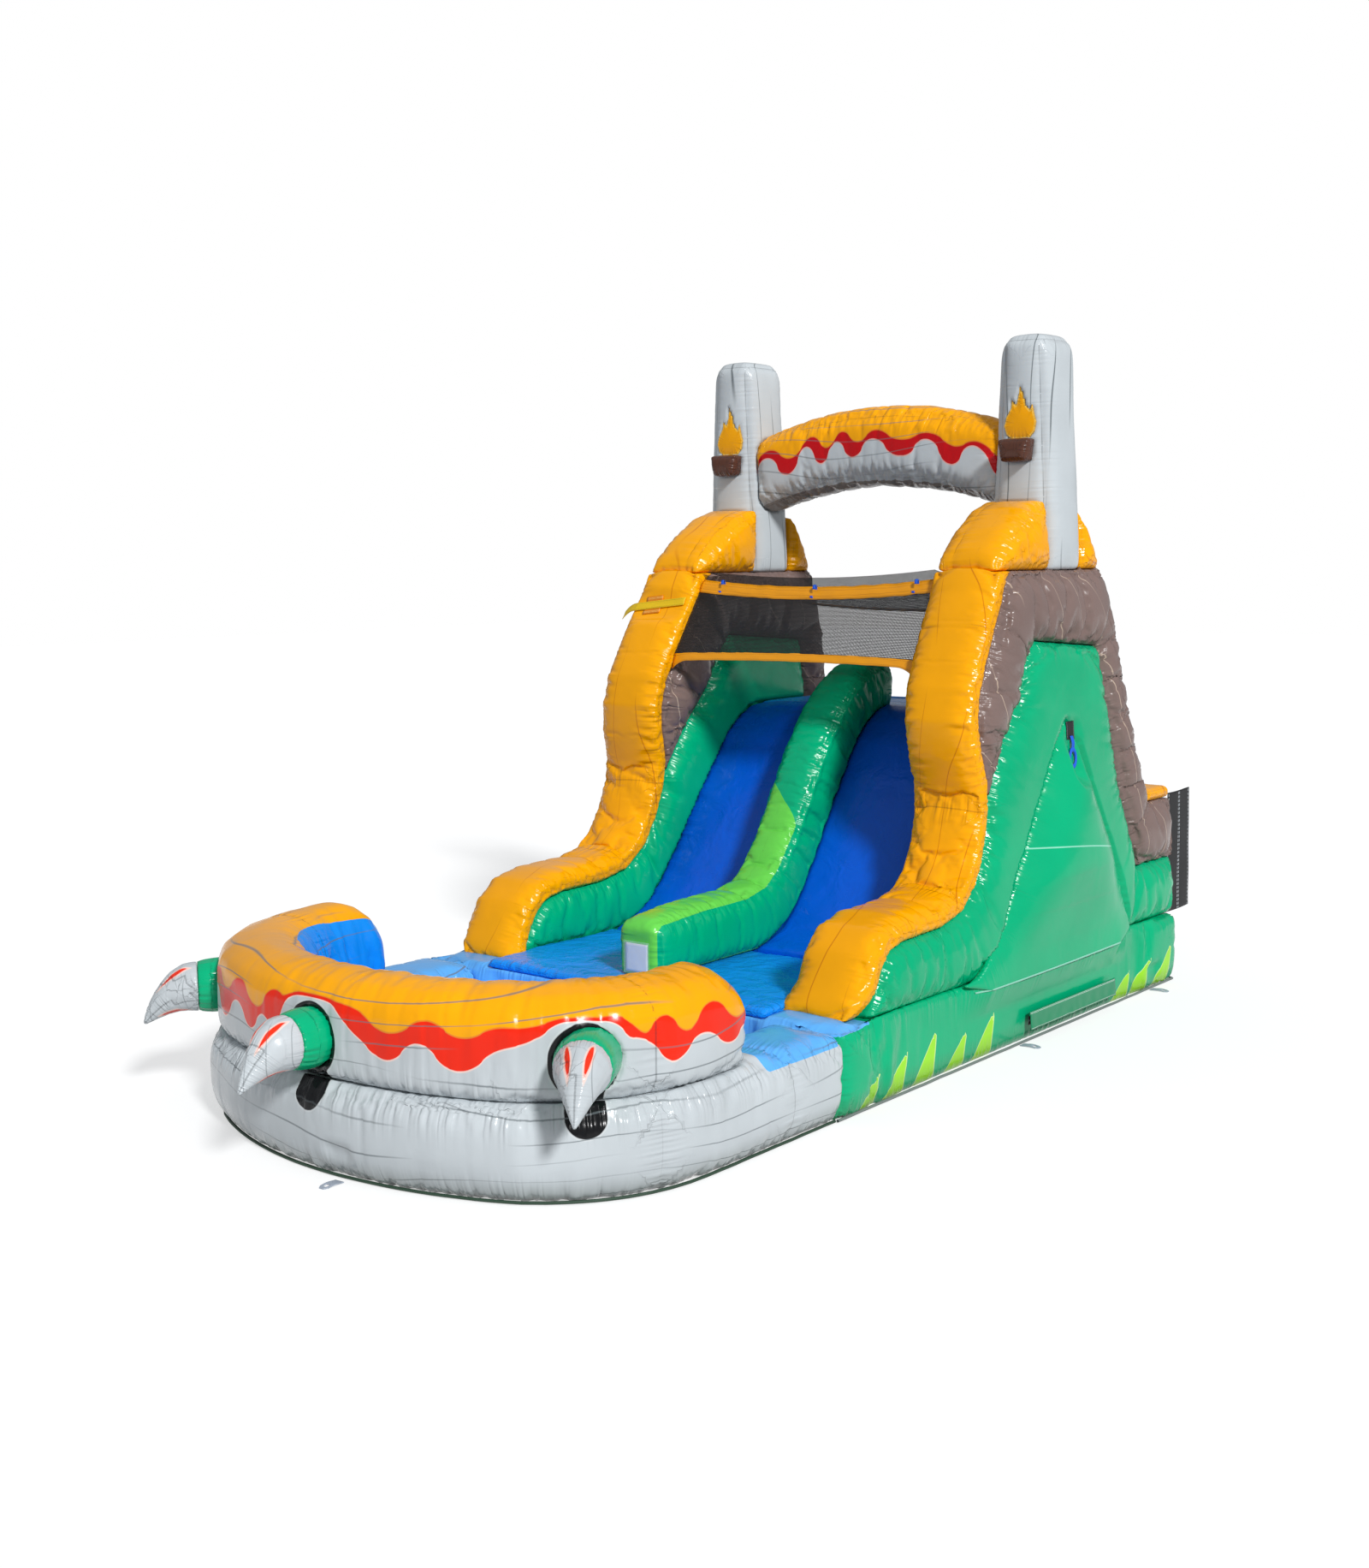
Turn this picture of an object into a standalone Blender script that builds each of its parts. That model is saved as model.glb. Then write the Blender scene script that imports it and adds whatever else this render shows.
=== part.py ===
# Inflatable water slide: two lanes, a splash pool and a climbing side, in metres.
# X points right seen from the pool, Y from the pool to the climbing side, Z up.
# The origin is on the ground, under the run-out deck between the lanes.

import math

import bmesh
import bpy
from mathutils import Matrix, Vector

# Overall sizes
overall_height = 4.57
seam_gap = 0.0003
sheet_thickness = 0.004

# Slide base, an air-filled floor under the walls
wall_foot_y = -0.92
wall_reach = 4.12
deck_reach = 0.24
base_height = 0.50
base_half_width = 1.68
base_front_y = wall_foot_y - deck_reach
base_rear_y = wall_foot_y + wall_reach
base_rounding = 0.05
runout_thickness = 0.06
runout_rounding = 0.03

# Side walls: one elevation, drawn in (y, z), leaning inwards as it rises
wall_rise = 2.53
wall_thickness = 0.51
wall_edge_inset = 0.28
wall_foot_x = base_half_width - wall_edge_inset
wall_lean_share = 0.07
wall_rounding = 0.05
arm_rounding = 0.08
band_depth = 0.11
split_height = 1.10
panel_thickness = 0.035
panel_rounding = 0.015
cap_thickness = 0.09
cap_rounding = 0.04

# Outlines of the side elevation, as shares of wall_reach and wall_rise
front_edge_shares = [
    (0.000, 0.000), (0.022, 0.063), (0.046, 0.134), (0.078, 0.180), (0.126, 0.198), (0.223, 0.203),
    (0.277, 0.221), (0.313, 0.265), (0.337, 0.328), (0.353, 0.407), (0.356, 0.474), (0.343, 0.553),
    (0.339, 0.632), (0.350, 0.711), (0.371, 0.779), (0.400, 0.862), (0.430, 0.937), (0.449, 1.000),
]
rear_edge_shares = [
    (0.782, 1.000), (0.796, 0.949), (0.830, 0.822), (0.850, 0.684), (0.883, 0.510), (0.908, 0.395),
    (0.920, 0.336), (1.012, 0.336), (1.012, 0.166),
]
colour_split_shares = [
    (0.871, 0.166), (0.854, 0.217), (0.823, 0.356), (0.806, 0.478), (0.784, 0.632), (0.765, 0.794),
    (0.546, 0.822), (0.512, 0.759), (0.483, 0.660), (0.437, 0.577), (0.403, 0.498),
]
panel_shares = [
    (0.617, 0.613), (0.587, 0.569), (0.553, 0.502), (0.490, 0.368), (0.456, 0.289), (0.434, 0.245),
    (0.391, 0.130), (0.364, 0.083), (0.335, 0.059), (0.299, 0.032), (0.262, 0.008), (0.816, 0.008),
    (0.782, 0.158), (0.709, 0.375), (0.655, 0.553),
]
bed_top_shares = [
    (0.252, 0.024), (0.282, 0.036), (0.316, 0.061), (0.345, 0.097), (0.371, 0.146), (0.410, 0.233),
    (0.461, 0.364), (0.510, 0.478), (0.536, 0.534), (0.566, 0.577), (0.595, 0.605), (0.626, 0.617),
]
bed_under_shares = [
    (0.626, 0.514), (0.592, 0.490), (0.561, 0.427), (0.512, 0.304), (0.461, 0.174), (0.422, 0.083),
    (0.383, 0.000),
]
divider_top_shares = [
    (0.641, 0.735), (0.612, 0.747), (0.563, 0.735), (0.515, 0.692), (0.478, 0.636), (0.425, 0.530),
    (0.383, 0.423), (0.345, 0.320), (0.303, 0.233), (0.272, 0.194), (0.223, 0.176), (0.102, 0.172),
    (0.012, 0.160), (-0.002, 0.142),
]
front_hoop_shares = [(0.449, 1.000), (0.466, 1.040), (0.507, 1.099), (0.558, 1.150), (0.612, 1.178)]
rear_hoop_shares = [(0.726, 1.160), (0.746, 1.122), (0.768, 1.066), (0.786, 1.000)]

# Lane divider and the platform at the top of the lanes
divider_width = 0.34
divider_rounding = 0.06
bed_rounding = 0.04
platform_rear_share = 0.786

# Climbing side: a steep ramp with rolled steps
ramp_head_share = 0.812
ramp_foot_share = 0.976
ramp_inner_foot_share = 0.900
ramp_inner_head_share = 0.400
step_count = 5
step_radius = 0.07
step_facets = 5
ramp_rounding = 0.03

# Hoops over the side walls, pillars and the beam between them
hoop_rounding = 0.10
pillar_front_y = 1.62
pillar_depth = 0.44
pillar_lean_in = 0.18
pillar_x = wall_foot_x - pillar_lean_in
pillar_foot_width = 0.48
pillar_top_width = 0.34
pillar_rounding = 0.09
pillar_crown = 0.06
crown_shares = [(0.0, 0.0), (0.6, 0.25), (1.0, 0.65)]
beam_depth = 0.34
beam_height = 0.53
beam_centre_drop = 0.655
beam_centre_z = overall_height - beam_centre_drop
beam_rise = 0.17
beam_rounding = 0.12
beam_stations = 10
corner_segments = 3

# Torches on the pillars
torch_box_width = 0.24
torch_box_height = 0.15
torch_box_depth = 0.12
torch_box_drop = 0.825
torch_box_z = overall_height - torch_box_drop
torch_box_rounding = 0.03
torch_taper_share = 0.8
flame_width = 0.25
flame_height = 0.36
flame_thickness = 0.012
flame_shares = [
    (0.00, 0.00), (0.30, 0.01), (0.45, 0.12), (0.50, 0.30), (0.43, 0.46), (0.36, 0.66), (0.30, 0.52),
    (0.20, 0.60), (0.12, 0.80), (-0.02, 1.00), (-0.05, 0.80), (-0.12, 0.62), (-0.24, 0.74),
    (-0.28, 0.56), (-0.42, 0.40), (-0.48, 0.24), (-0.40, 0.08), (-0.25, 0.01),
]

# Splash pool: a U of straight sides and a front arc that meet at corners
pool_overhang = 0.02
pool_half_width = base_half_width + pool_overhang
pool_front_radius = 2.64
pool_arc_y = -0.861
pool_wall_thickness = 0.50
pool_wall_rounding = 0.05
pool_arc_stations = 12
pool_corner_stations = 3
pool_corner_reach = 0.60
pool_corner_room_share = 0.80
pool_floor_thickness = 0.14
pool_floor_rounding = 0.03
bumper_inset = 0.05
bumper_width = 0.50
bumper_height = 0.55
bumper_gap = 0.77
bumper_end_y = base_front_y - bumper_gap
bumper_return_shares = [(0.00, 0.54, 0.72), (0.12, 0.78, 0.90), (0.50, 0.92, 1.00)]
bumper_section_shares = [
    (0.06, 0.00), (0.00, 0.06), (0.00, 0.70), (0.06, 0.84), (0.20, 0.95), (0.42, 1.00), (0.66, 0.98),
    (0.86, 0.88), (0.98, 0.68), (1.00, 0.30), (0.94, 0.06), (0.88, 0.00),
]

# Claws on the pool's front: their angles and their heights above the base
claw_places = (("left", -34.5, 0.195), ("middle", 0.0, 0.225), ("right", 34.5, 0.225))
claw_radius = 0.165
claw_neck_radius = 0.15
claw_socket_length = 0.18
claw_tip_length = 0.31
claw_drop = 0.20
claw_tip_radius = 0.012
claw_root_depth = 0.12
claw_sides = 16
claw_stations = 7

# Nets: flat meshes with hems, between the side walls
net_foot_share = 0.759
net_slope_y = 0.25
net_height = 0.47
net_setback = 0.065
net_thickness = 0.004
net_strand = 0.022
net_columns = 18
net_rows = 5
roof_rows = 9
hem_thickness = 0.008
top_hem_width = 0.10
bottom_hem_width = 0.06
rear_hem_width = 0.05
roof_rear_share = 0.780
roof_drop = 0.13

# Webbing, flaps and fittings
webbing_thickness = 0.006
loop_width = 0.06
loop_length = 0.24
loop_hole_width = 0.032
loop_hole_length = 0.085
loop_border = 0.022
loop_y = 1.67
loop_rise = 1.44
loop_z = base_height + loop_rise
anchor_width = 0.06
anchor_length = 0.13
anchor_side_y = 0.90
anchor_rear_y = 2.80
strap_length = 0.56
strap_width = 0.06
strap_edge_index = 16
flap_strip_width = 0.06
flap_width = 0.40
flap_height = 0.90
flap_foot_drop = 0.03
flap_foot_z = base_height - flap_foot_drop
flap_edge_inset = 0.14
flap_x = base_half_width - flap_edge_inset
flap_inset = 0.05
zip_front_y = 0.98
zip_length = 1.20
zip_top_z = 0.205
zip_tape_height = 0.06
zip_flap_height = 0.12
zip_slider_length = 0.05
zip_slider_height = 0.03
zip_slider_depth = 0.008
zip_travel = 1.05
card_side = 0.18
card_thickness = 0.003
inlet_x = -0.95
inlet_z = 0.22
inlet_radius = 0.14
inlet_wall = 0.012
inlet_length = 0.42
inlet_facets = 20
inlet_strap_width = 0.04
inlet_strap_offset = 0.10


# Helpers


def vinyl(name, colour, roughness=0.32):
    """Coated cloth in one colour, given as linear red, green and blue."""
    made = bpy.data.materials.new(name)
    made.use_nodes = True
    shader = made.node_tree.nodes["Principled BSDF"]
    shader.inputs["Base Color"].default_value = (*colour, 1.0)
    shader.inputs["Roughness"].default_value = roughness
    shader.inputs["Metallic"].default_value = 0.0
    made.diffuse_color = (*colour, 1.0)
    return made


def add_piece(name, work, material, pivot=None):
    """Makes an object from a bmesh in world coordinates, with its origin at the pivot."""
    pivot = Vector((0, 0, 0)) if pivot is None else Vector(pivot)
    bmesh.ops.recalc_face_normals(work, faces=work.faces)
    work.transform(Matrix.Translation(-pivot))
    mesh = bpy.data.meshes.new(name)
    work.to_mesh(mesh)
    work.free()
    mesh.materials.append(material)
    mesh.shade_smooth()
    mesh.set_sharp_from_angle(angle=math.radians(35))
    piece = bpy.data.objects.new(name, mesh)
    piece.location = pivot
    bpy.context.scene.collection.objects.link(piece)
    return piece


def cut(piece, cutter):
    """Takes the cutter's volume out of a piece and hides the cutter."""
    cutter.hide_render = True
    cutter.display_type = "WIRE"
    step = piece.modifiers.new("cut " + cutter.name, "BOOLEAN")
    step.operation = "DIFFERENCE"
    step.object = cutter


def place(share):
    """A point of the side elevation, from its shares of the wall's reach and rise."""
    return (wall_foot_y + share[0] * wall_reach, base_height + share[1] * wall_rise)


def wall_middle_x(z):
    return wall_foot_x - wall_lean_share * (z - base_height)


def wall_outer_x(z):
    return wall_middle_x(z) + wall_thickness / 2


def wall_inner_x(z):
    return wall_middle_x(z) - wall_thickness / 2


def turned(points):
    """Positive where a closed outline runs anticlockwise."""
    following = points[1:] + points[:1]
    return sum(a[0] * b[1] - b[0] * a[1] for a, b in zip(points, following))


def moved_in(points, distance, closed=True):
    """The outline moved to its left by a distance, with mitred corners."""
    moved = []
    count = len(points)
    for i, here in enumerate(points):
        before = points[i - 1] if closed or i else here
        after = points[(i + 1) % count] if closed or i < count - 1 else here
        first = Vector((here[0] - before[0], here[1] - before[1]))
        second = Vector((after[0] - here[0], after[1] - here[1]))
        if not first.length:
            first = second.copy()
        if not second.length:
            second = first.copy()
        first.normalize()
        second.normalize()
        side = Vector((-first.y - second.y, first.x + second.x)) / (1 + first.dot(second))
        moved.append((here[0] + side.x * distance, here[1] + side.y * distance))
    return moved


def seated(points):
    """A closed outline drawn back by half the gap between touching pieces."""
    inwards = seam_gap / 2 if turned(points) > 0 else -seam_gap / 2
    return moved_in(points, inwards)


def y_at(line, z):
    """Where a rising line reaches a height."""
    for low, high in zip(line, line[1:]):
        if low[1] <= z <= high[1] and high[1] > low[1]:
            return low[0] + (high[0] - low[0]) * (z - low[1]) / (high[1] - low[1])
    return line[-1][0]


def prism(outline, near_x, far_x, rounding, segments=2):
    """A closed (y, z) outline extruded between two faces given as functions of height."""
    work = bmesh.new()
    face = work.faces.new([work.verts.new((near_x(z), y, z)) for y, z in outline])
    near = set(face.verts)
    grown = bmesh.ops.extrude_face_region(work, geom=[face])
    far = {item for item in grown["geom"] if isinstance(item, bmesh.types.BMVert)}
    for corner in far:
        corner.co.x = far_x(corner.co.z)
    rims = [e for e in work.edges if set(e.verts) <= near or set(e.verts) <= far]
    round_edges(work, rims, rounding, segments)
    return work


def round_edges(work, edges, rounding, segments=2):
    if rounding:
        work.normal_update()
        bmesh.ops.bevel(
            work, geom=edges, offset=rounding, offset_type="OFFSET", segments=segments,
            profile=0.5, affect="EDGES", clamp_overlap=True, material=-1,
        )


def side_prism(side, outline, rounding, near_x=wall_inner_x, far_x=wall_outer_x):
    """A wall piece on one side: -1 is left, 1 is right."""
    return prism(outline, lambda z: side * near_x(z), lambda z: side * far_x(z), rounding)


def channel_prism(outline, rounding):
    """A piece that fills the channel between the side walls."""
    reach = lambda z: wall_inner_x(z) - seam_gap
    return prism(outline, lambda z: -reach(z), reach, rounding)


def loft(rings):
    """A closed skin through rings of points, with flat ends."""
    work = bmesh.new()
    loops = [[work.verts.new(point) for point in ring] for ring in rings]
    for first, second in zip(loops, loops[1:]):
        for i in range(len(first)):
            j = (i + 1) % len(first)
            work.faces.new((first[i], first[j], second[j], second[i]))
    work.faces.new(loops[0])
    work.faces.new(list(reversed(loops[-1])))
    return work


def box(low, high, rounding=0.0, segments=2):
    """A box between two corners with its edges rounded."""
    work = bmesh.new()
    bmesh.ops.create_cube(work, size=1.0)
    size = [b - a for a, b in zip(low, high)]
    middle = [(a + b) / 2 for a, b in zip(low, high)]
    bmesh.ops.scale(work, vec=size, verts=work.verts)
    bmesh.ops.translate(work, vec=middle, verts=work.verts)
    round_edges(work, list(work.edges), rounding, segments)
    return work


def pool_arc(inset):
    """The front arc's radius, its corner with the side, the angle where it ends and the bend's reach."""
    half = pool_half_width - inset
    radius = pool_front_radius - inset
    corner_angle = math.asin(half / radius)
    corner = Vector((half, pool_arc_y - radius * math.cos(corner_angle)))
    reach = min(pool_corner_reach, pool_corner_room_share * (bumper_end_y - corner.y))
    return radius, corner, corner_angle - reach / radius, reach


def pool_line(inset):
    """The pool's U from its right side round the front to its left, with rounded corners."""
    radius, corner, end_angle, reach = pool_arc(inset)
    arc = []
    for i in range(pool_arc_stations + 1):
        angle = end_angle * (1 - 2 * i / pool_arc_stations)
        arc.append(Vector((radius * math.sin(angle), pool_arc_y - radius * math.cos(angle))))
    side = corner + Vector((0, reach))
    bend = [side]
    for i in range(pool_corner_stations):
        share = (i + 1) / (pool_corner_stations + 1)
        bend.append(side * (1 - share)**2 + corner * 2 * share * (1 - share) + arc[0] * share**2)
    mirrored = [Vector((-point.x, point.y)) for point in reversed(bend)]
    return bend + arc + mirrored


def pool_reach(angle, inset):
    """How far the pool's line lies from the arc's centre in one direction."""
    out = Vector((math.sin(angle), -math.cos(angle)))
    line = [point - Vector((0, pool_arc_y)) for point in pool_line(inset)]
    for here, after in zip(line, line[1:]):
        off_here = here.x * out.y - here.y * out.x
        off_after = after.x * out.y - after.y * out.x
        if off_here * off_after <= 0 and off_here != off_after and here.dot(out) > 0:
            return (here + (after - here) * off_here / (off_here - off_after)).dot(out)
    return pool_front_radius - inset


# Materials

green = vinyl("green_vinyl", (0.0, 0.36, 0.16))
leaf_green = vinyl("leaf_green_vinyl", (0.13, 0.60, 0.07))
orange = vinyl("orange_vinyl", (0.95, 0.38, 0.01))
brown = vinyl("brown_vinyl", (0.17, 0.10, 0.08))
grey = vinyl("grey_vinyl", (0.52, 0.55, 0.55))
lane_blue = vinyl("lane_blue_vinyl", (0.0, 0.07, 0.45))
pool_blue = vinyl("pool_blue_vinyl", (0.01, 0.25, 0.85))
black_cloth = vinyl("black_cloth", (0.015, 0.015, 0.017), 0.7)
net_black = vinyl("black_netting", (0.02, 0.02, 0.02), 0.8)
blue_webbing = vinyl("blue_webbing", (0.01, 0.13, 0.60), 0.7)
pale_webbing = vinyl("pale_webbing", (0.55, 0.60, 0.68), 0.7)
yellow_webbing = vinyl("yellow_webbing", (0.85, 0.60, 0.02), 0.7)
card_white = vinyl("card_white", (0.80, 0.80, 0.80), 0.5)


# The wall's elevation, shared by the pieces of both sides

front_edge = [place(share) for share in front_edge_shares]
rear_edge = [place(share) for share in rear_edge_shares]
colour_split = [place(share) for share in colour_split_shares]
wall_top_z = base_height + wall_rise
split_z = base_height + split_height

band_back = moved_in(front_edge, -band_depth, closed=False)
band_foot = (y_at(band_back, base_height), base_height)
band_back = [band_foot] + [point for point in band_back if base_height < point[1] < wall_top_z]
band_back.append((band_back[-1][0] + front_edge[-1][0] - front_edge[-2][0], wall_top_z))
split_point = (y_at(band_back, split_z), split_z)
lower_back = [point for point in band_back if point[1] < split_z - seam_gap] + [split_point]
upper_back = [split_point] + [point for point in band_back if point[1] > split_z + seam_gap]

arm_outline = front_edge + list(reversed(band_back))
upper_outline = upper_back + rear_edge + colour_split
lower_outline = lower_back + list(reversed(colour_split)) + [rear_edge[-1], (base_rear_y, base_height)]


def make_walls(side, word):
    """The four skins of one side wall and the orange cap on its rear step."""
    add_piece(word + "_front_arm", side_prism(side, seated(arm_outline), arm_rounding), orange)
    add_piece(word + "_upper_wall", side_prism(side, seated(upper_outline), wall_rounding), brown)
    add_piece(word + "_lower_wall", side_prism(side, seated(lower_outline), wall_rounding), green)

    panel_outline = [place(share) for share in panel_shares]
    near = lambda z: wall_outer_x(z) + seam_gap
    far = lambda z: wall_outer_x(z) + panel_thickness
    add_piece(word + "_side_panel", side_prism(side, panel_outline, panel_rounding, near, far), green)

    step_front, step_rear = rear_edge[-3], rear_edge[-2]
    low = step_rear[1] + seam_gap
    lip = step_front[0] + seam_gap
    cap = [(lip, low), (step_rear[0], low), (step_rear[0], low + cap_thickness), (lip, low + cap_thickness)]
    add_piece(word + "_step_cap", side_prism(side, cap, cap_rounding), orange)


def make_hoops(side, word):
    """The orange hoop over one side wall, in front of its pillar and behind it."""
    pillar_rear_y = pillar_front_y + pillar_depth
    low = wall_top_z + seam_gap
    front = [(max(y, wall_foot_y), max(z, low)) for y, z in map(place, front_hoop_shares)]
    front[-1] = (pillar_front_y - seam_gap, front[-1][1])
    front.append((pillar_front_y - seam_gap, low))
    add_piece(word + "_front_hoop", side_prism(side, front, hoop_rounding), orange)

    rear = [(y, max(z, low)) for y, z in map(place, rear_hoop_shares)]
    rear[0] = (pillar_rear_y + seam_gap, rear[0][1])
    rear.append((pillar_rear_y + seam_gap, low))
    add_piece(word + "_rear_hoop", side_prism(side, rear, hoop_rounding / 2), orange)


def pillar_half_width(z):
    foot_z = wall_top_z
    share = (z - foot_z) / (overall_height - pillar_crown - foot_z)
    return (pillar_foot_width + (pillar_top_width - pillar_foot_width) * share) / 2


def rounded_rectangle(half_width, half_depth, rounding):
    """A rectangle with round corners, anticlockwise, as (across, along) points."""
    points = []
    for corner, (right, back) in enumerate(((1, 1), (-1, 1), (-1, -1), (1, -1))):
        for k in range(corner_segments + 1):
            angle = math.pi / 2 * (corner + k / corner_segments)
            across = right * (half_width - rounding) + rounding * math.cos(angle)
            along = back * (half_depth - rounding) + rounding * math.sin(angle)
            points.append((across, along))
    return points


def make_pillar(side, word):
    """A square post that narrows to its top, with a crowned end."""
    middle_y = pillar_front_y + pillar_depth / 2
    crown_z = overall_height - pillar_crown
    levels = [(wall_top_z + seam_gap, 0.0)]
    levels += [(crown_z + pillar_crown * rise, pillar_rounding * inset) for rise, inset in crown_shares]
    rings = []
    for z, inset in levels:
        half_width = pillar_half_width(min(z, crown_z)) - inset
        corners = rounded_rectangle(half_width, pillar_depth / 2 - inset, pillar_rounding - inset)
        rings.append([(side * pillar_x + across, middle_y + along, z) for across, along in corners])
    add_piece(word + "_pillar", loft(rings), grey)


def make_torch(side, word):
    """A shelf on the pillar's front and the flame that stands on it."""
    front_y = pillar_front_y - seam_gap
    low_z = torch_box_z
    work = box(
        (-torch_box_width / 2, front_y - torch_box_depth, low_z),
        (torch_box_width / 2, front_y, low_z + torch_box_height),
    )
    for corner in work.verts:
        if corner.co.z < low_z + torch_box_height / 2:
            corner.co.x *= torch_taper_share
    front = [e for e in work.edges if max(v.co.y for v in e.verts) < front_y - torch_box_depth / 2]
    round_edges(work, front, torch_box_rounding)
    bmesh.ops.translate(work, vec=(side * pillar_x, 0, 0), verts=work.verts)
    add_piece(word + "_torch_box", work, brown)

    low_z += torch_box_height + seam_gap
    work = bmesh.new()
    corners = [
        work.verts.new((side * pillar_x + x * flame_width, front_y, low_z + z * flame_height))
        for x, z in flame_shares
    ]
    grown = bmesh.ops.extrude_face_region(work, geom=[work.faces.new(corners)])
    moved = [item for item in grown["geom"] if isinstance(item, bmesh.types.BMVert)]
    bmesh.ops.translate(work, vec=(0, -flame_thickness, 0), verts=moved)
    add_piece(word + "_flame", work, orange)


def make_beam():
    """The arched beam between the pillars, its ends cut to their leaning faces."""
    middle_y = pillar_front_y + pillar_depth / 2
    section = rounded_rectangle(beam_depth / 2, beam_height / 2, beam_rounding)
    rings = []
    for i in range(beam_stations + 1):
        along = 2 * i / beam_stations - 1
        ring = []
        for across, up in section:
            z = beam_centre_z - beam_rise * along**2 + up
            reach = pillar_x - pillar_half_width(z) - seam_gap
            ring.append((along * reach, middle_y + across, z))
        rings.append(ring)
    add_piece("crossbeam", loft(rings), grey)


def make_base():
    """The floor under the slide and the mat where the lanes run out."""
    work = box((-base_half_width, base_front_y, 0), (base_half_width, base_rear_y, base_height))
    upright = [e for e in work.edges if abs(e.verts[0].co.z - e.verts[1].co.z) > base_height / 2]
    round_edges(work, upright, base_rounding)
    add_piece("slide_base", work, green)

    start_y = place(bed_top_shares[0])[0]
    mat_top = base_height + runout_thickness
    half = wall_inner_x(mat_top) - seam_gap
    work = box(
        (-half, base_front_y + runout_rounding, base_height + seam_gap),
        (half, start_y - seam_gap, mat_top),
    )
    nose = [e for e in work.edges if max(v.co.y for v in e.verts) < base_front_y + 2 * runout_rounding]
    nose = [e for e in nose if min(v.co.z for v in e.verts) > mat_top - seam_gap]
    round_edges(work, nose, runout_rounding)
    add_piece("runout_mat", work, pool_blue)


def make_lanes():
    """The slide bed, the divider that lies along it and the platform at its head."""
    mat_top = base_height + runout_thickness
    top = [(y, max(z, mat_top)) for y, z in map(place, bed_top_shares)]
    top[0] = (top[0][0], mat_top)
    under = [(y, max(z, base_height + seam_gap)) for y, z in map(place, bed_under_shares)]
    foot = (top[0][0], base_height + seam_gap)
    bed = channel_prism(top + under + [foot], bed_rounding)
    add_piece("slide_bed", bed, lane_blue)

    head_y, platform_z = top[-1]
    rear_y = wall_foot_y + platform_rear_share * wall_reach
    under_z = under[0][1]
    front_y = head_y + seam_gap
    platform = [(front_y, under_z), (rear_y, under_z), (rear_y, platform_z), (front_y, platform_z)]
    add_piece("top_platform", channel_prism(platform, bed_rounding), pool_blue)

    crest = [place(share) for share in divider_top_shares]
    rest_line = moved_in(top, seam_gap, closed=False)
    nose_y = crest[-1][0]
    mat_z = mat_top + seam_gap
    seat = [(nose_y, mat_z)] + [(y, max(z, mat_z)) for y, z in rest_line]
    seat.append((crest[0][0], platform_z + seam_gap))
    half = divider_width / 2
    work = prism(seat + crest, lambda z: -half, lambda z: half, divider_rounding)
    add_piece("lane_divider", work, leaf_green)

    nose_top_z = crest[-1][1] - divider_rounding
    low_z = mat_z + (nose_top_z - mat_z - card_side) / 2
    face_y = nose_y - seam_gap
    work = box((-card_side / 2, face_y - card_thickness, low_z), (card_side / 2, face_y, low_z + card_side))
    add_piece("blank_card", work, card_white)


def make_climbing_wall():
    """A steep ramp behind the platform, with rolled steps across its face."""
    rear_y = wall_foot_y + platform_rear_share * wall_reach
    platform_z = place(bed_top_shares[-1])[1]
    low_z = base_height + seam_gap
    head = Vector((wall_foot_y + ramp_head_share * wall_reach, platform_z))
    foot = Vector((wall_foot_y + ramp_foot_share * wall_reach, base_height + step_radius))
    slope = foot - head
    outwards = Vector((-slope.y, slope.x)).normalized()
    face = []
    for i in range(step_count):
        middle = head + slope * (i + 0.5) / step_count
        for k in range(step_facets + 1):
            angle = math.pi * k / step_facets
            along = slope.normalized() * -math.cos(angle)
            point = middle + (along + outwards * math.sin(angle)) * step_radius
            face.append((point.x, point.y))
    inner_foot = (wall_foot_y + ramp_inner_foot_share * wall_reach, low_z)
    inner_head = (rear_y + seam_gap, base_height + ramp_inner_head_share * wall_rise)
    outline = [(rear_y + seam_gap, platform_z), (head.x, head.y)] + face
    outline += [(foot.x, low_z), inner_foot, inner_head]
    add_piece("climbing_wall", channel_prism(outline, ramp_rounding), pool_blue)


def u_solid(section, end_y, return_shares=((0.0, 1.0, 1.0),)):
    """A tube round the pool's U from its (inset, height) section.

    Each share along a return holds the height and the width that the section has there.
    """
    middle = sum(inset for inset, height in section) / len(section)
    low = min(height for inset, height in section)
    lines = []
    for inset, height in section:
        curve = pool_line(inset)
        ends = []
        for share, height_share, width_share in return_shares:
            x = pool_half_width - middle - (inset - middle) * width_share
            y = end_y + (curve[0].y - end_y) * share
            ends.append(Vector((x, y, low + (height - low) * height_share)))
        line = ends + [Vector((point.x, point.y, height)) for point in curve]
        line += [Vector((-point.x, point.y, point.z)) for point in reversed(ends)]
        lines.append(line)
    return loft([list(ring) for ring in zip(*lines)])


def bumper_section(grown=0.0):
    low = base_height + seam_gap - grown
    width = bumper_width + 2 * grown
    height = bumper_height + 2 * grown
    return [(bumper_inset - grown + a * width, low + b * height) for a, b in bumper_section_shares]


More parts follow.
